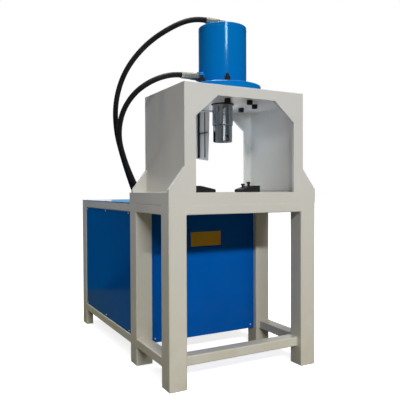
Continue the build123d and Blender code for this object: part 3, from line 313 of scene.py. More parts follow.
def spun_reflection_cloth(name, start, end, tone, between):
    """A cloth spun from an edge between two places (reach, height), between two angles from +X; it glows
    with a painted reflection tone and only reflections see it.
    """
    first, last = (math.radians(angle) for angle in between)
    cloth = bmesh.new()
    ends = [cloth.verts.new((reach, 0, height)) for reach, height in (start, end)]
    edge = cloth.edges.new(ends)
    bmesh.ops.rotate(cloth, verts=ends, cent=(0, 0, 0), matrix=Matrix.Rotation(first, 3, "Z"))
    bmesh.ops.spin(cloth, geom=ends + [edge], cent=(0, 0, 0), axis=(0, 0, 1), angle=last - first,
                   steps=CLOTH_STEPS)
    mesh = bpy.data.meshes.new(name)
    cloth.to_mesh(mesh)
    cloth.free()
    reflection_glow = bpy.data.materials.new(name)
    reflection_glow.use_nodes = True
    reflection_glow.node_tree.nodes.clear()
    # The cloth glows with its tone, and only reflections see it: a painted reflection.
    glow_tone = add_node(reflection_glow.node_tree, "Emission", {"Color": (*tone, 1)})
    link(reflection_glow.node_tree, glow_tone.outputs[0], add_node(reflection_glow.node_tree, "OutputMaterial"), "Surface")
    mesh.materials.append(reflection_glow)
    piece = bpy.data.objects.new(name, mesh)
    scene.collection.objects.link(piece)
    for ray in ("camera", "diffuse", "transmission", "volume_scatter", "shadow"):
        setattr(piece, "visible_" + ray, False)
    print(name, "faces", len(mesh.polygons))


print("cloth helper ready")

# %% Hang the curtains that paint reflections
CURTAIN_RADIUS, CURTAIN_HEIGHT, CLOTH_LIFT = 7.6, 6.0, 0.003
CURTAIN_FOOT, CURTAIN_HEAD = (CURTAIN_RADIUS, CLOTH_LIFT), (CURTAIN_RADIUS, CURTAIN_HEIGHT)
PELMET_FOOT = (CURTAIN_RADIUS, 2.3)
SKIRT_FOOT, SKIRT_HEAD = (CURTAIN_RADIUS, 0.3), (CURTAIN_RADIUS, 2.0)
BAND_REACH = CURTAIN_RADIUS - 0.1
HOLDER_BAND, BAND_JOIN, ROD_BAND = (BAND_REACH, 1.5), (BAND_REACH, 1.98), (BAND_REACH, 2.5)
FRONT_AND_SIDES = (145, 395)
# Tones that the cloths glow with, painted into reflections: near black, the cabinet's blues and the ram's
# greys.
DARK, REFLECTED_BLUE, REFLECTED_STEEL_BLUE = (0.002, 0.002, 0.002), (0.0, 0.13, 0.35), (0.20, 0.45, 0.62)
ROD_REFLECTION_GREY, HOLDER_REFLECTION_GREY = (0.14, 0.17, 0.20), (0.11, 0.11, 0.11)
spun_reflection_cloth("top_reflection_skirt", SKIRT_FOOT, SKIRT_HEAD, REFLECTED_STEEL_BLUE, (69, 74.6))
spun_reflection_cloth("blue_reflection_curtain", CURTAIN_FOOT, CURTAIN_HEAD, REFLECTED_BLUE, (82, 113))
spun_reflection_cloth("rear_curtain", CURTAIN_FOOT, CURTAIN_HEAD, DARK, (113, 119))
spun_reflection_cloth("pelmet", PELMET_FOOT, CURTAIN_HEAD, DARK, (119, 145))
spun_reflection_cloth("front_curtain", CURTAIN_FOOT, CURTAIN_HEAD, DARK, FRONT_AND_SIDES)
spun_reflection_cloth("rod_reflection_band", BAND_JOIN, ROD_BAND, ROD_REFLECTION_GREY, FRONT_AND_SIDES)
spun_reflection_cloth("holder_reflection_band", HOLDER_BAND, BAND_JOIN, HOLDER_REFLECTION_GREY, FRONT_AND_SIDES)

# %% Lay the floor cloths that paint reflections
# The grey and olive mats glow with a painted reflection of the floor in the paint and metal.
REFLECTED_GREY, REFLECTED_OLIVE = (0.03, 0.06, 0.045), (0.08, 0.12, 0.01)
MAT_START, MAT_END = (0.05, CLOTH_LIFT), (1.7, CLOTH_LIFT)
spun_reflection_cloth("blue_reflection_floor_cloth", MAT_END, CURTAIN_FOOT, REFLECTED_BLUE, (82, 117))
spun_reflection_cloth("floor_cloth", MAT_END, CURTAIN_FOOT, DARK, (117, 395))
spun_reflection_cloth("grey_reflection_mat", MAT_START, MAT_END, REFLECTED_GREY, (150, 465))
spun_reflection_cloth("olive_reflection_mat", MAT_START, MAT_END, REFLECTED_OLIVE, (105, 150))

# %% [markdown]
# ## Hoses
#
# Two rubber hoses carry oil between the valve block in the cabinet and the cylinder. They are
# stiff, so they stand out in wide arcs before they turn down. A hose could be a chain of bent
# tubes, but one curve with a few control points is smoother and easy to change. A NURBS curve does
# not pass through these points: it is drawn towards them, so its bends never get sharp. The bevel is
# a unit circle, and each point's radius shrinks it to the hose, because that radius also counts in
# the curve's own box.

# %% Two hoses from port to cabinet
HOSE_RADIUS = 0.012
RAM_Y = -0.4275
UPPER_ROUTE = [
    (-0.089, RAM_Y, 1.572), (-0.149, RAM_Y, 1.572), (-0.245, -0.388, 1.529),
    (-0.339, -0.318, 1.456), (-0.410, -0.249, 1.348), (-0.434, -0.186, 1.220),
    (-0.413, -0.130, 1.088), (-0.363, -0.083, 0.967), (-0.315, -0.049, 0.860),
    (-0.276, -0.035, 0.772), (-0.276, -0.035, 0.690),
]
LOWER_ROUTE = [
    (-0.213, RAM_Y, 1.313), (-0.256, RAM_Y, 1.313), (-0.345, -0.405, 1.281),
    (-0.408, -0.348, 1.227), (-0.441, -0.288, 1.146), (-0.434, -0.226, 1.049),
    (-0.387, -0.172, 0.951), (-0.328, -0.127, 0.854), (-0.276, -0.109, 0.772),
    (-0.276, -0.109, 0.690),
]


def hose(name, route):
    """A hose along a route that goes back into the machine, in place of the solid hose of that name."""
    curve = bpy.data.curves.new(name, "CURVE")
    curve.dimensions = "3D"
    curve.bevel_depth = 1.0
    curve.bevel_resolution = 6
    curve.use_fill_caps = True
    spline = curve.splines.new("NURBS")
    spline.points.add(len(route) - 1)
    for point, place in zip(spline.points, route):
        point.co = (*place, 1)
        point.radius = HOSE_RADIUS
    spline.order_u = 3
    spline.use_endpoint_u = True
    spline.resolution_u = 16
    piece = bpy.data.objects.new(name + "_rubber", curve)
    scene.collection.objects.link(piece)
    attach(piece, "frame")
    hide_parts(name)
    return piece


upper_hose = hose("upper_hose", UPPER_ROUTE)
lower_hose = hose("lower_hose", LOWER_ROUTE)
print("hoses:", upper_hose.name, lower_hose.name)

# %% [markdown]
# ## Ground seams
#
# The tubes have rounded corners, so where one tube is welded flush to another there would be a
# groove. On the machine these joints were filled with weld and ground flat before painting, and
# the faces run through. Each filled groove is a small three-sided bar: one triangle, extruded
# along the joint. Both sides of the frame are alike, so the left half is made and mirrored.

# %% Helpers for new pieces
MERGE_DISTANCE = 1e-6


def finished_piece(name, sheet):
    """A mesh object on the frame from a bmesh, merged and with its faces turned outwards."""
    bmesh.ops.remove_doubles(sheet, verts=sheet.verts[:], dist=MERGE_DISTANCE)
    bmesh.ops.recalc_face_normals(sheet, faces=sheet.faces[:])
    open_edges = sum(len(edge.link_faces) != 2 for edge in sheet.edges)
    mesh = bpy.data.meshes.new(name)
    sheet.to_mesh(mesh)
    sheet.free()
    piece = bpy.data.objects.new(name, mesh)
    scene.collection.objects.link(piece)
    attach(piece, "frame")
    print(name, "faces", len(mesh.polygons), "open edges", open_edges)
    return piece


def mirror_left_half(sheet):
    """The same geometry again on the right of the machine."""
    everything = sheet.verts[:] + sheet.edges[:] + sheet.faces[:]
    bmesh.ops.mirror(sheet, geom=everything, merge_dist=-1, axis="X")


def filled_groove(sheet, corner, first, second, along):
    """A bar whose section is a corner and two points on the faces beside it."""
    corner = Vector(corner)
    ends = [corner, corner + Vector(first), corner + Vector(second)]
    start = sheet.faces.new([sheet.verts.new(point) for point in ends])
    grown = bmesh.ops.extrude_face_region(sheet, geom=[start])
    tip = [part for part in grown["geom"] if isinstance(part, bmesh.types.BMVert)]
    bmesh.ops.translate(sheet, verts=tip, vec=along)


print("piece helpers ready")

# %% Fill the grooves
SIDE = 0.370
FRONT, REAR, TABLE_REAR = -0.635, 0.635, -0.195
LEG, RAIL, BED_LOW = 0.080, 0.040, 0.745
LEG_ROUND, RAIL_ROUND = 0.006, 0.004
RAIL_LOW, STRETCHER_LOW, CABINET_LOW = BED_LOW - RAIL, 0.085, 0.087
UP = (0, 0, RAIL)
seams = bmesh.new()
inner = -SIDE + LEG
filled_groove(seams, (inner, FRONT, RAIL_LOW), (-LEG_ROUND, 0, 0), (0, LEG_ROUND, 0), UP)
for z in (RAIL_LOW, STRETCHER_LOW):
    filled_groove(seams, (-SIDE, FRONT + LEG, z), (0, -LEG_ROUND, 0), (LEG_ROUND, 0, 0), UP)
    filled_groove(seams, (-SIDE, TABLE_REAR - LEG, z), (0, LEG_ROUND, 0), (LEG_ROUND, 0, 0), UP)
for z in (RAIL_LOW, CABINET_LOW):
    filled_groove(seams, (-SIDE, TABLE_REAR, z), (0, -LEG_ROUND, 0), (LEG_ROUND, 0, 0), UP)
    filled_groove(seams, (-SIDE, REAR - LEG, z), (0, LEG_ROUND, 0), (LEG_ROUND, 0, 0), UP)
    filled_groove(seams, (-SIDE + RAIL, REAR, z), (-LEG_ROUND, 0, 0), (0, -LEG_ROUND, 0), UP)
mirror_left_half(seams)
filled_groove(seams, (inner, FRONT, BED_LOW), (0, 0, -RAIL_ROUND), (0, RAIL_ROUND, 0), (-2 * inner, 0, 0))
ground_seams = finished_piece("ground_seams", seams)

# %% [markdown]
# ## Weld beads
#
# Inside corners can't be ground, so the beads stay as the welder laid them: a row of small
# overlapping ripples. A bead could be a smooth tube with a bump texture, but its outline would
# stay straight. Here a ring of points is extruded step by step along the joint, and every second
# ring is a little smaller, which gives true ripples with few faces.

# %% Rings of points
RING_POINTS = 8


def add_ring(sheet, centre, direction, radius):
    """A ring of points across a direction."""
    facing = Vector(direction).to_track_quat("Z", "Y").to_matrix().to_4x4()
    ring = bmesh.ops.create_circle(sheet, segments=RING_POINTS, radius=radius,
                                   matrix=Matrix.Translation(centre) @ facing)
    return list({edge for vert in ring["verts"] for edge in vert.link_edges})


def next_ring(sheet, edges):
    """The ring extruded from another one, as its edges and its points."""
    grown = bmesh.ops.extrude_edge_only(sheet, edges=edges)["geom"]
    fresh = [part for part in grown if isinstance(part, bmesh.types.BMEdge)]
    points = [part for part in grown if isinstance(part, bmesh.types.BMVert)]
    rim = [edge for edge in fresh if all(vert in points for vert in edge.verts)]
    return rim, points


def scale_ring(sheet, points, centre, share):
    """A ring made larger or smaller about its own middle."""
    bmesh.ops.scale(sheet, verts=points, vec=(share, share, share), space=Matrix.Translation(-centre))


print("ring helpers ready")

# %% Straight beads
BEAD_RADIUS = 0.004
RIPPLE_STEP = 0.0045
RIPPLE_SHRINK = 0.80


def straight_bead(sheet, start, end, radius=BEAD_RADIUS):
    """A rippled bead between two points, closed at both ends."""
    start, end = Vector(start), Vector(end)
    count = max(2, round((end - start).length / RIPPLE_STEP))
    step = (end - start) / count
    edges = add_ring(sheet, start, step, radius)
    first = edges
    for n in range(count):
        edges, points = next_ring(sheet, edges)
        bmesh.ops.translate(sheet, verts=points, vec=step)
        share = RIPPLE_SHRINK if n % 2 == 0 else 1 / RIPPLE_SHRINK
        scale_ring(sheet, points, start + step * (n + 1), share)
    for rim in (first, edges):
        bmesh.ops.contextual_create(sheet, geom=rim)


print("bead step", RIPPLE_STEP, "m")

# %% Beads of the head
PLATE = 0.016
HEAD_SIDE, HEAD_REAR = 0.300, -0.220
BED_TOP, CEILING, FLARE_TOP = 0.795, 1.200, 0.897
FOOT_BEAD = 0.009
welds = bmesh.new()
plate_in = -HEAD_SIDE + PLATE
plate_y = (FRONT + PLATE, HEAD_REAR - PLATE)
for x, radius in ((-HEAD_SIDE, BEAD_RADIUS), (plate_in, FOOT_BEAD)):
    straight_bead(welds, (x, plate_y[0], BED_TOP), (x, plate_y[1], BED_TOP), radius)
straight_bead(welds, (plate_in, plate_y[0], CEILING), (plate_in, plate_y[1], CEILING))
for y in plate_y:
    straight_bead(welds, (plate_in, y, BED_TOP), (plate_in, y, CEILING))
    straight_bead(welds, (-SIDE, y, BED_TOP), (-HEAD_SIDE, y, BED_TOP))
    straight_bead(welds, (-HEAD_SIDE, y, BED_TOP), (-HEAD_SIDE, y, FLARE_TOP))
print("faces of the head's beads, left half:", len(welds.faces))

# %% Beads of the table and the cabinet
FRONT_STRETCHER_Y = (-0.605, -0.545)
SIDE_STRETCHER_IN = -0.310
STRETCHER_TOP = STRETCHER_LOW + RAIL
outer, rail_in = -SIDE + LEG_ROUND, -SIDE + RAIL
for z in (STRETCHER_LOW, STRETCHER_TOP):
    straight_bead(welds, (inner, FRONT_STRETCHER_Y[0], z), (inner, FRONT_STRETCHER_Y[1], z))
for y in FRONT_STRETCHER_Y:
    straight_bead(welds, (inner, y, STRETCHER_LOW), (inner, y, STRETCHER_TOP))
for y in (FRONT + LEG, TABLE_REAR - LEG):
    for z in (STRETCHER_LOW, STRETCHER_TOP):
        straight_bead(welds, (outer, y, z), (SIDE_STRETCHER_IN, y, z))
    straight_bead(welds, (SIDE_STRETCHER_IN, y, STRETCHER_LOW), (SIDE_STRETCHER_IN, y, STRETCHER_TOP))
    straight_bead(welds, (outer, y, RAIL_LOW), (rail_in, y, RAIL_LOW))
    straight_bead(welds, (rail_in, y, RAIL_LOW), (rail_in, y, BED_LOW))
straight_bead(welds, (inner, FRONT + LEG_ROUND, RAIL_LOW), (inner, FRONT + RAIL, RAIL_LOW))
straight_bead(welds, (inner, FRONT + RAIL, RAIL_LOW), (inner, FRONT + RAIL, BED_LOW))
for y in (TABLE_REAR, REAR - LEG):
    straight_bead(welds, (outer, y, CABINET_LOW), (rail_in, y, CABINET_LOW))
mirror_left_half(welds)
for face in welds.faces:
    face.smooth = len(face.verts) == 4
frame_welds = finished_piece("frame_welds", welds)

# %% [markdown]
# ## Beads on the cylinder
#
# The cap, the mounting flange and the lower port are welded to the barrel all the way round. A
# spin makes a perfect ring, but no ripples. So the same ring of points is turned about the axis
# one step at a time, and the last ring is bridged to the first.

# %% Round beads
def round_bead(sheet, centre, axis, ring_radius, radius):
    """A rippled bead round an axis."""
    centre, axis = Vector(centre), Vector(axis)
    away = axis.orthogonal().normalized() * ring_radius
    count = 2 * round(math.pi * ring_radius / RIPPLE_STEP)
    edges = add_ring(sheet, centre + away, axis.cross(away), radius)
    first = edges
    for n in range(1, count):
        step = Matrix.Rotation(2 * math.pi / count, 3, axis)
        away = step @ away
        edges, points = next_ring(sheet, edges)
        bmesh.ops.rotate(sheet, verts=points, cent=centre, matrix=step)
        share = RIPPLE_SHRINK if n % 2 else 1 / RIPPLE_SHRINK
        scale_ring(sheet, points, centre + away, share)
    bmesh.ops.bridge_loops(sheet, edges=first + edges)


print("round bead helper ready")

# %% Beads of the flange, the cap and the port
BARREL_RADIUS, FLANGE_TOP, BARREL_TOP = 0.110, 1.275, 1.529
BOSS_RADIUS, BOSS_FOOT_X, LOWER_PORT_Z = 0.021, -0.109, 1.313
FLANGE_BEAD, CAP_BEAD, PORT_BEAD = 0.005, 0.0009, 0.0035
rings = bmesh.new()
round_bead(rings, (0, RAM_Y, FLANGE_TOP), (0, 0, 1), BARREL_RADIUS, FLANGE_BEAD)
round_bead(rings, (0, RAM_Y, BARREL_TOP), (0, 0, 1), BARREL_RADIUS, CAP_BEAD)
round_bead(rings, (BOSS_FOOT_X, RAM_Y, LOWER_PORT_Z), (1, 0, 0), BOSS_RADIUS, PORT_BEAD)
for face in rings.faces:
    face.smooth = True
cylinder_welds = finished_piece("cylinder_welds", rings)

# %% [markdown]
# ## Shared effects as node groups
#
# Paint, metal and rubber all age in the same few ways. Each way is built once as a node group
# with named inputs, and every material that needs it places the group with its own values.
# The groups give only masks and heights; the shader itself stays in the material.

# %% Group helpers
def new_group(name, inputs, outputs):
    """An empty shader node group with number sockets."""
    tree = bpy.data.node_groups.new(name, "ShaderNodeTree")
    for label, value in inputs.items():
        socket = tree.interface.new_socket(label, in_out="INPUT", socket_type="NodeSocketFloat")
        socket.default_value = value
    for label in outputs:
        tree.interface.new_socket(label, in_out="OUTPUT", socket_type="NodeSocketFloat")
    return tree, tree.nodes.new("NodeGroupInput"), tree.nodes.new("NodeGroupOutput")


def noise(tree, scale, detail=3.0, stretch=None):
    """Noise on Object coordinates; the scale is an output or a number."""
    place = add_node(tree, "TexCoord").outputs["Object"]
    if stretch:
        mapping = add_node(tree, "Mapping", {"Scale": stretch})
        link(tree, place, mapping, "Vector")
        place = mapping.outputs[0]
    texture = add_node(tree, "TexNoise", {"Detail": detail})
    link(tree, place, texture, "Vector")
    if isinstance(scale, (int, float)):
        texture.inputs["Scale"].default_value = scale
    else:
        link(tree, scale, texture, "Scale")
    return texture.outputs["Fac"]


def ranged(tree, value, low, high, to_low=0.0, to_high=1.0):
    """A value moved from one range to another, and kept inside it."""
    node = add_node(tree, "MapRange", {"From Min": low, "From Max": high,
                                       "To Min": to_low, "To Max": to_high})
    link(tree, value, node, "Value")
    return node.outputs[0]


print("group helpers ready")

# %% [markdown]
# ## How paint ages
#
# Paint is thinnest on edges, where hands and workpieces rub it. Dust settles on faces that look
# up, and splashes dirty the feet. All of it could be painted on a texture by hand, but then every
# piece needs its own. A mask that is worked out from the surface fits them all: the Bevel node
# rounds the normals near an edge, and the less such a normal is like the true one, the sharper the
# edge. The normal also finds level faces, and the height finds the feet. Noise breaks up each mask.

# %% Edge wear and paint film
FLAT, SHARP = 0.98, 0.80


def edge_wear_group():
    """Worn edges: where a rounded normal leaves the true one, broken up by noise."""
    tree, entry, result = new_group("edge_wear", {"Radius": 0.002, "Breakup": 40.0}, ["Mask"])
    rounded = add_node(tree, "Bevel", samples=4)
    link(tree, entry.outputs["Radius"], rounded, "Radius")
    likeness = add_node(tree, "VectorMath", operation="DOT_PRODUCT")
    link(tree, rounded.outputs["Normal"], likeness, 0)
    link(tree, add_node(tree, "NewGeometry").outputs["Normal"], likeness, 1)
    edge = ranged(tree, likeness.outputs["Value"], FLAT, SHARP)
    broken = ranged(tree, noise(tree, entry.outputs["Breakup"]), 0.40, 0.62)
    link(tree, math_node(tree, "MULTIPLY", edge, broken), result, "Mask")
    return tree


def paint_film_group():
    """Sprayed paint: a fine orange peel, and a slow drift of its tone."""
    tree, entry, result = new_group("paint_film", {"Peel": 380.0, "Drift": 2.5}, ["Height", "Tone"])
    link(tree, noise(tree, entry.outputs["Peel"], 1.0), result, "Height")
    link(tree, ranged(tree, noise(tree, entry.outputs["Drift"], 4.0), 0.36, 0.64), result, "Tone")
    return tree


edge_wear = edge_wear_group()
paint_film = paint_film_group()
print("groups:", edge_wear.name, paint_film.name)

# %% Dust and grime
STEEP, LEVEL = 0.6, 1.0
SPLASH_SCALE = 14.0


def dust_and_underside_shade_group():
    """Dust in soft patches on faces that look up; with Up at -1 the mask lies on faces that look down,
    where the metals use it for painted shade.
    """
    tree, entry, result = new_group("dust_and_underside_shade", {"Patches": 6.0, "Amount": 0.5, "Up": 1.0}, ["Mask"])
    facing = add_node(tree, "SeparateXYZ")
    link(tree, add_node(tree, "NewGeometry").outputs["Normal"], facing, 0)
    upwards = math_node(tree, "MULTIPLY", facing.outputs["Z"], entry.outputs["Up"])
    level = ranged(tree, upwards, STEEP, LEVEL)
    patchy = ranged(tree, noise(tree, entry.outputs["Patches"], 5.0), 0.35, 0.65, 0.3, 1.0)
    amount = math_node(tree, "MULTIPLY", patchy, entry.outputs["Amount"])
    link(tree, math_node(tree, "MULTIPLY", level, amount), result, "Mask")
    return tree


def grime_group():
    """Dirt from the floor: strongest at the feet, gone above a height, and broken up by splashes."""
    inputs = {"Height": 0.35, "Amount": 0.5, "Breakup": 1.0}
    tree, entry, result = new_group("floor_grime", inputs, ["Mask"])
    place = add_node(tree, "SeparateXYZ")
    link(tree, add_node(tree, "TexCoord").outputs["Object"], place, 0)
    share = math_node(tree, "DIVIDE", place.outputs["Z"], entry.outputs["Height"])
    low = ranged(tree, share, 1.0, 0.0)
    spared = ranged(tree, noise(tree, SPLASH_SCALE, 6.0), 0.62, 0.38)
    held_back = math_node(tree, "MULTIPLY", spared, entry.outputs["Breakup"])
    splashed = math_node(tree, "SUBTRACT", 1.0, held_back)
    amount = math_node(tree, "MULTIPLY", splashed, entry.outputs["Amount"])
    link(tree, math_node(tree, "MULTIPLY", low, amount), result, "Mask")
    return tree


dust_and_underside_shade = dust_and_underside_shade_group()
grime = grime_group()
print("groups:", dust_and_underside_shade.name, grime.name)

# %% [markdown]
# ## How metal ages
#
# A grinder leaves fine lines along its path, and a rag leaves streaks of oil. Noise that is
# stretched along Z gives both. Slots and holes are darkened: grease that no rag reaches, and
# painted shade. Ambient Occlusion says how much of its surroundings a point sees, and that finds
# such places on any piece.

# %% Tool marks, grease and painted shade
LINE_STRETCH, SMEAR_STRETCH = (1.0, 1.0, 0.02), (1.0, 1.0, 0.06)
SMEAR_SCALE = 70.0
OPEN, DEEP = 0.75, 0.45


def tool_marks_group():
    """Fine upright lines that a grinder leaves, and wiped streaks of oil."""
    tree, entry, result = new_group("tool_marks", {"Lines": 900.0}, ["Height", "Tone"])
    lines = noise(tree, entry.outputs["Lines"], 2.0, LINE_STRETCH)
    link(tree, lines, result, "Height")
    smear = noise(tree, SMEAR_SCALE, 4.0, SMEAR_STRETCH)
    halves = [math_node(tree, "MULTIPLY", side, 0.5) for side in (lines, smear)]
    mixed = math_node(tree, "ADD", *halves)
    link(tree, ranged(tree, mixed, 0.38, 0.62), result, "Tone")
    return tree


def hollow_shade_and_grease_group():
    """Grease and painted shade in slots and holes: where the surface sees little of its surroundings."""
    tree, entry, result = new_group("hollow_shade_and_grease", {"Reach": 0.012}, ["Mask"])
    openness = add_node(tree, "AmbientOcclusion", samples=8)
    link(tree, entry.outputs["Reach"], openness, "Distance")
    link(tree, ranged(tree, openness.outputs["AO"], OPEN, DEEP), result, "Mask")
    return tree


tool_marks = tool_marks_group()
hollow_shade_and_grease = hollow_shade_and_grease_group()
print("groups:", tool_marks.name, hollow_shade_and_grease.name)

# %% [markdown]
# ## Materials
#
# Three recipes cover the machine: sprayed paint, bare metal and moulded rubber or plastic. Each
# is a function that builds one Principled shader and feeds it with the shared effects. Numbers
# that are the same all over a surface are set on the shader's own sockets.

# %% Material helpers
def new_finish(name, values):
    """A material with one Principled shader and its plain numbers."""
    finish = bpy.data.materials.new(name)
    finish.use_nodes = True
    tree = finish.node_tree
    shader = tree.nodes["Principled BSDF"]
    for socket, value in values.items():
        shader.inputs[socket].default_value = value
    return finish, tree, shader


def effect(tree, group, values=None):
    """A node group placed in a material."""
    node = tree.nodes.new("ShaderNodeGroup")
    node.node_tree = group
    for socket, value in (values or {}).items():
        node.inputs[socket].default_value = value
    return node.outputs


def blend(tree, mask, first, second):
    """A colour between two; each is an output or a plain colour."""
    node = add_node(tree, "Mix", data_type="RGBA")
    link(tree, mask, node, 0)
    for socket, side in ((COLOUR_A, first), (COLOUR_B, second)):
        if isinstance(side, tuple):
            node.inputs[socket].default_value = (*side, 1)
        else:
            link(tree, side, node, socket)
    return node.outputs[COLOUR_MIXED]


def lighter(colour, gain, lift):
    """A lighter tone of a colour, for rubbed edges."""
    return tuple(min(1.0, gain * share + lift) for share in colour)


def raise_surface(tree, shader, height, depth):
    """A bump of a depth in metres."""
    bump = add_node(tree, "Bump", {"Distance": depth, "Strength": 1.0})
    link(tree, height, bump, "Height")
    link(tree, bump.outputs["Normal"], shader, "Normal")


print("material helpers ready")

# %% [markdown]
# ## Sprayed paint
#
# The frame is sprayed off-white, the cabinet's sheets and the cylinder in two blues. One plain
# colour would look like plastic, so the tone drifts slowly, edges are paler, and dust and dirt lie
# on top. The frame's tone also turns yellower towards the floor. The cylinder's blue is
# glossier than it looks at first: a clear coat gives it a second, sharper reflection.

# %% A recipe for paint
DUST_TONE, DIRT_TONE = (0.46, 0.44, 0.40), (0.20, 0.17, 0.13)
# Values for a tone that turns yellower towards the floor.
LOW_YELLOWING = {"Height": 1.1, "Amount": 0.62, "Breakup": 0.25}
COAT_ROUGHNESS = 0.10


def painted(name, colour, drifted, edge, roughness, specular, dirt=0.3, settled=0.3, peel=0.0002,
            coat=0.0, yellowed=None):
    """Paint with a drifting tone, worn edges, dust and dirty feet; it may shine, or yellow below."""
    finish, tree, shader = new_finish(name, {"Specular IOR Level": specular, "Coat Weight": coat,
                                             "Coat Roughness": COAT_ROUGHNESS})
    film = effect(tree, paint_film)
    tone = blend(tree, film["Tone"], colour, drifted)
    if yellowed:
        tone = blend(tree, effect(tree, grime, LOW_YELLOWING)["Mask"], tone, yellowed)
    tone = blend(tree, effect(tree, edge_wear)["Mask"], tone, edge)
    tone = blend(tree, effect(tree, dust_and_underside_shade, {"Amount": settled})["Mask"], tone, DUST_TONE)
    tone = blend(tree, effect(tree, grime, {"Amount": dirt})["Mask"], tone, DIRT_TONE)
    link(tree, tone, shader, "Base Color")
    link(tree, ranged(tree, film["Tone"], 0.0, 1.0, *roughness), shader, "Roughness")
    raise_surface(tree, shader, film["Height"], peel)
    return finish


print("paint recipe ready")

# %% The machine's paints
finishes = {
    "frame_paint": painted(
        "off_white_paint", colour=(0.598, 0.598, 0.588), drifted=(0.566, 0.564, 0.550),
        edge=(0.72, 0.71, 0.68), roughness=(0.28, 0.38), specular=0.5,
        dirt=0.12, settled=0.1, yellowed=(0.67, 0.62, 0.45)),
    "panel_blue": painted(
        "panel_blue_paint", colour=(0.0005, 0.095, 0.42), drifted=(0.0007, 0.087, 0.38),
        edge=(0.02, 0.16, 0.48), roughness=(0.10, 0.16), specular=0.10,
        dirt=0.03, settled=0.05, peel=0.00002),
    "cylinder_blue": painted(
        "cylinder_blue_paint", colour=(0.0, 0.153, 0.48), drifted=(0.0, 0.143, 0.45),
        edge=(0.03, 0.24, 0.55), roughness=(0.40, 0.48), specular=0.03,
        settled=0.06, peel=0.00001, coat=0.5),
    "tank_paint": painted(
        "tank_grey_paint", colour=(0.10, 0.112, 0.119), drifted=(0.088, 0.098, 0.104),
        edge=(0.24, 0.25, 0.26), roughness=(0.42, 0.55), specular=0.3),
    "motor_paint": painted(
        "motor_casting_paint", colour=(0.074, 0.095, 0.107), drifted=(0.060, 0.080, 0.092),
        edge=(0.20, 0.22, 0.23), roughness=(0.48, 0.60), specular=0.3, peel=0.0006),
    "box_paint": painted(
        "box_grey_paint", colour=(0.47, 0.48, 0.47), drifted=(0.43, 0.44, 0.43),
        edge=(0.60, 0.61, 0.60), roughness=(0.36, 0.46), specular=0.4),
    "label_yellow": painted(
        "label_yellow_enamel", colour=(0.63, 0.352, 0.021), drifted=(0.575, 0.32, 0.018),
        edge=(0.69, 0.42, 0.06), roughness=(0.40, 0.55), specular=0.15,
        dirt=0.0, settled=0.0, peel=0.00005),
}
print("paints:", len(finishes))

# %% [markdown]
# ## Bare metal
#
# The ram is ground steel, the hose ends are zinc plated and the screws are blackened. A metal shows
# mostly what it mirrors, so its roughness matters more than its colour, and the ram's tones are
# painted reflections of the glowing grey bands among the cloths. Plating has a dull film, so it is
# less than fully metallic.
# Grease is dark and dull at once, so one mask darkens the colour and raises the roughness. On
# faces that look down and in hollows, this dark tone is painted shade as well as grease.

# %% A recipe for metal
SHADE_AND_GREASE_TONE = (0.01, 0.01, 0.01)
METAL_EDGE = {"Radius": 0.001, "Breakup": 90.0}
UNDERSIDE_SHADE = {"Amount": 1.0, "Up": -1.0}


def bare_metal(name, colour, stained, roughness, marks=900.0, depth=0.00004, metallic=1.0, specular=0.5):
    """Metal with tool marks in its tone, roughness and surface; dark and dull on faces that look down and
    in hollows, which is greasy dirt there and painted shade.
    """
    finish, tree, shader = new_finish(name, {"Metallic": metallic, "Specular IOR Level": specular})
    lines = effect(tree, tool_marks, {"Lines": marks})
    tone = blend(tree, lines["Tone"], colour, stained)
    tone = blend(tree, effect(tree, edge_wear, METAL_EDGE)["Mask"], tone, lighter(colour, 1.8, 0.05))
    # Faces that look down and hollows take a dark, dull tone: greasy dirt, and painted shade under the
    # parts and in slots and holes.
    below = effect(tree, dust_and_underside_shade, UNDERSIDE_SHADE)["Mask"]
    shade_and_grease = math_node(tree, "MAXIMUM", below, effect(tree, hollow_shade_and_grease)["Mask"])
    link(tree, blend(tree, shade_and_grease, tone, SHADE_AND_GREASE_TONE), shader, "Base Color")
    ground = ranged(tree, lines["Tone"], 0.0, 1.0, *roughness)
    link(tree, math_node(tree, "MAXIMUM", ground, shade_and_grease), shader, "Roughness")
    raise_surface(tree, shader, lines["Height"], depth)
    return finish


print("metal recipe ready")

# %% The machine's metals
finishes["ram_steel"] = bare_metal(
    "ram_steel", colour=(0.52, 0.55, 0.58), stained=(0.38, 0.41, 0.44), roughness=(0.14, 0.22),
    marks=500.0, depth=0.00001)
finishes["zinc"] = bare_metal(
    "yellow_zinc", colour=(0.56, 0.55, 0.47), stained=(0.35, 0.34, 0.26), roughness=(0.26, 0.40),
    marks=300.0, metallic=0.7)
finishes["panel_screws"] = bare_metal(
    "bright_zinc", colour=(0.85, 0.87, 0.90), stained=(0.70, 0.72, 0.75), roughness=(0.30, 0.42),
    marks=300.0, metallic=0.3)
finishes["black_oxide"] = bare_metal(
    "black_oxide", colour=(0.014, 0.014, 0.015), stained=(0.009, 0.009, 0.010), roughness=(0.40, 0.60),
    marks=400.0, metallic=0.0, specular=0.4)
finishes["bronze"] = bare_metal(
    "turned_bronze", colour=(0.32, 0.18, 0.048), stained=(0.24, 0.13, 0.035), roughness=(0.28, 0.42))
finishes["rotor_steel"] = bare_metal(
    "machined_steel", colour=(0.22, 0.22, 0.235), stained=(0.16, 0.16, 0.17), roughness=(0.26, 0.40))
finishes["pump_metal"] = bare_metal(
    "pump_casting", colour=(0.07, 0.07, 0.074), stained=(0.05, 0.05, 0.052), roughness=(0.45, 0.60),
    marks=200.0, depth=0.0002)
finishes["valve_metal"] = bare_metal(
    "valve_steel", colour=(0.18, 0.18, 0.18), stained=(0.13, 0.13, 0.13), roughness=(0.30, 0.45))
print("paints and metals:", len(finishes))

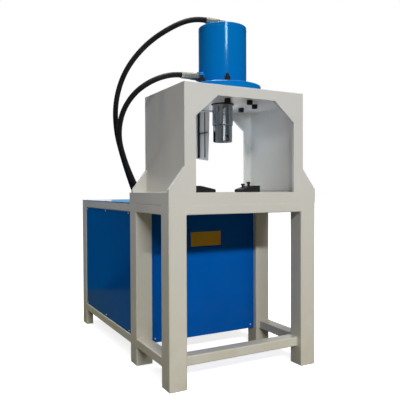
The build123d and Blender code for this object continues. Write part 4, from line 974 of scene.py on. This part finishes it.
# %% [markdown]
# ## Rubber and plastic
#
# The hoses and seals are black rubber, the trunking and the buttons are plastic. All are moulded,
# so they share a fine grain from the mould and patches that are rubbed a little shinier. The paint
# film's noise serves for both, with other values, so no new group is needed.

# %% A recipe for moulded pieces
RUBBED_EDGE = {"Radius": 0.001, "Breakup": 70.0}
LIGHT_DUST = {"Patches": 20.0, "Amount": 0.12}
RUBBER_DUST_TONE = (0.30, 0.28, 0.25)
PATCH_SCALE = 9.0


def moulded(name, colour, rubbed, roughness, specular, grain=500.0, depth=0.0001):
    """Rubber or plastic with a fine grain and rubbed patches."""
    finish, tree, shader = new_finish(name, {"Specular IOR Level": specular})
    film = effect(tree, paint_film, {"Peel": grain, "Drift": PATCH_SCALE})
    tone = blend(tree, film["Tone"], colour, rubbed)
    tone = blend(tree, effect(tree, edge_wear, RUBBED_EDGE)["Mask"], tone, lighter(colour, 1.6, 0.01))
    tone = blend(tree, effect(tree, dust_and_underside_shade, LIGHT_DUST)["Mask"], tone, RUBBER_DUST_TONE)
    link(tree, tone, shader, "Base Color")
    link(tree, ranged(tree, film["Tone"], 0.0, 1.0, *roughness), shader, "Roughness")
    raise_surface(tree, shader, film["Height"], depth)
    return finish


print("moulding recipe ready")

# %% The machine's rubber and plastic
finishes["hose_rubber"] = moulded(
    "hose_rubber", colour=(0.010, 0.010, 0.011), rubbed=(0.016, 0.016, 0.017),
    roughness=(0.40, 0.55), specular=0.12)
finishes["seal"] = moulded(
    "seal_rubber", colour=(0.013, 0.013, 0.013), rubbed=(0.018, 0.018, 0.018),
    roughness=(0.55, 0.70), specular=0.3)
finishes["trunking"] = moulded(
    "trunking_plastic", colour=(0.010, 0.010, 0.011), rubbed=(0.014, 0.014, 0.015),
    roughness=(0.45, 0.60), specular=0.3)
finishes["button_green"] = moulded(
    "button_green", colour=(0.004, 0.21, 0.022), rubbed=(0.004, 0.18, 0.019),
    roughness=(0.22, 0.30), specular=0.5)
finishes["button_red"] = moulded(
    "button_red", colour=(0.52, 0.006, 0.005), rubbed=(0.46, 0.005, 0.004),
    roughness=(0.22, 0.30), specular=0.5)
print("finishes:", len(finishes))

# %% [markdown]
# ## Put the finishes on
#
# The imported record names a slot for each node, such as frame_paint, and the finishes are kept
# under the same names, so a loop can dress the whole machine. The panel screws are brighter than
# the other zinc, so a finish under their own name comes first. The new pieces take the finish of
# what they are part of.

# %% Dress the nodes and the new pieces
slot_of = {part["node"]: part["material_slot"] for part in frame["record"]["subparts"]}
for name, piece in nodes.items():
    piece.material_slots[0].material = finishes.get(name, finishes[slot_of[name]])
new_pieces = [(ground_seams, "frame_paint"), (frame_welds, "frame_paint"),
              (cylinder_welds, "cylinder_blue"),
              (upper_hose, "hose_rubber"), (lower_hose, "hose_rubber")]
for piece, slot in new_pieces:
    piece.data.materials.append(finishes[slot])
print("dressed:", len(nodes), "nodes and", len(new_pieces), "new pieces")
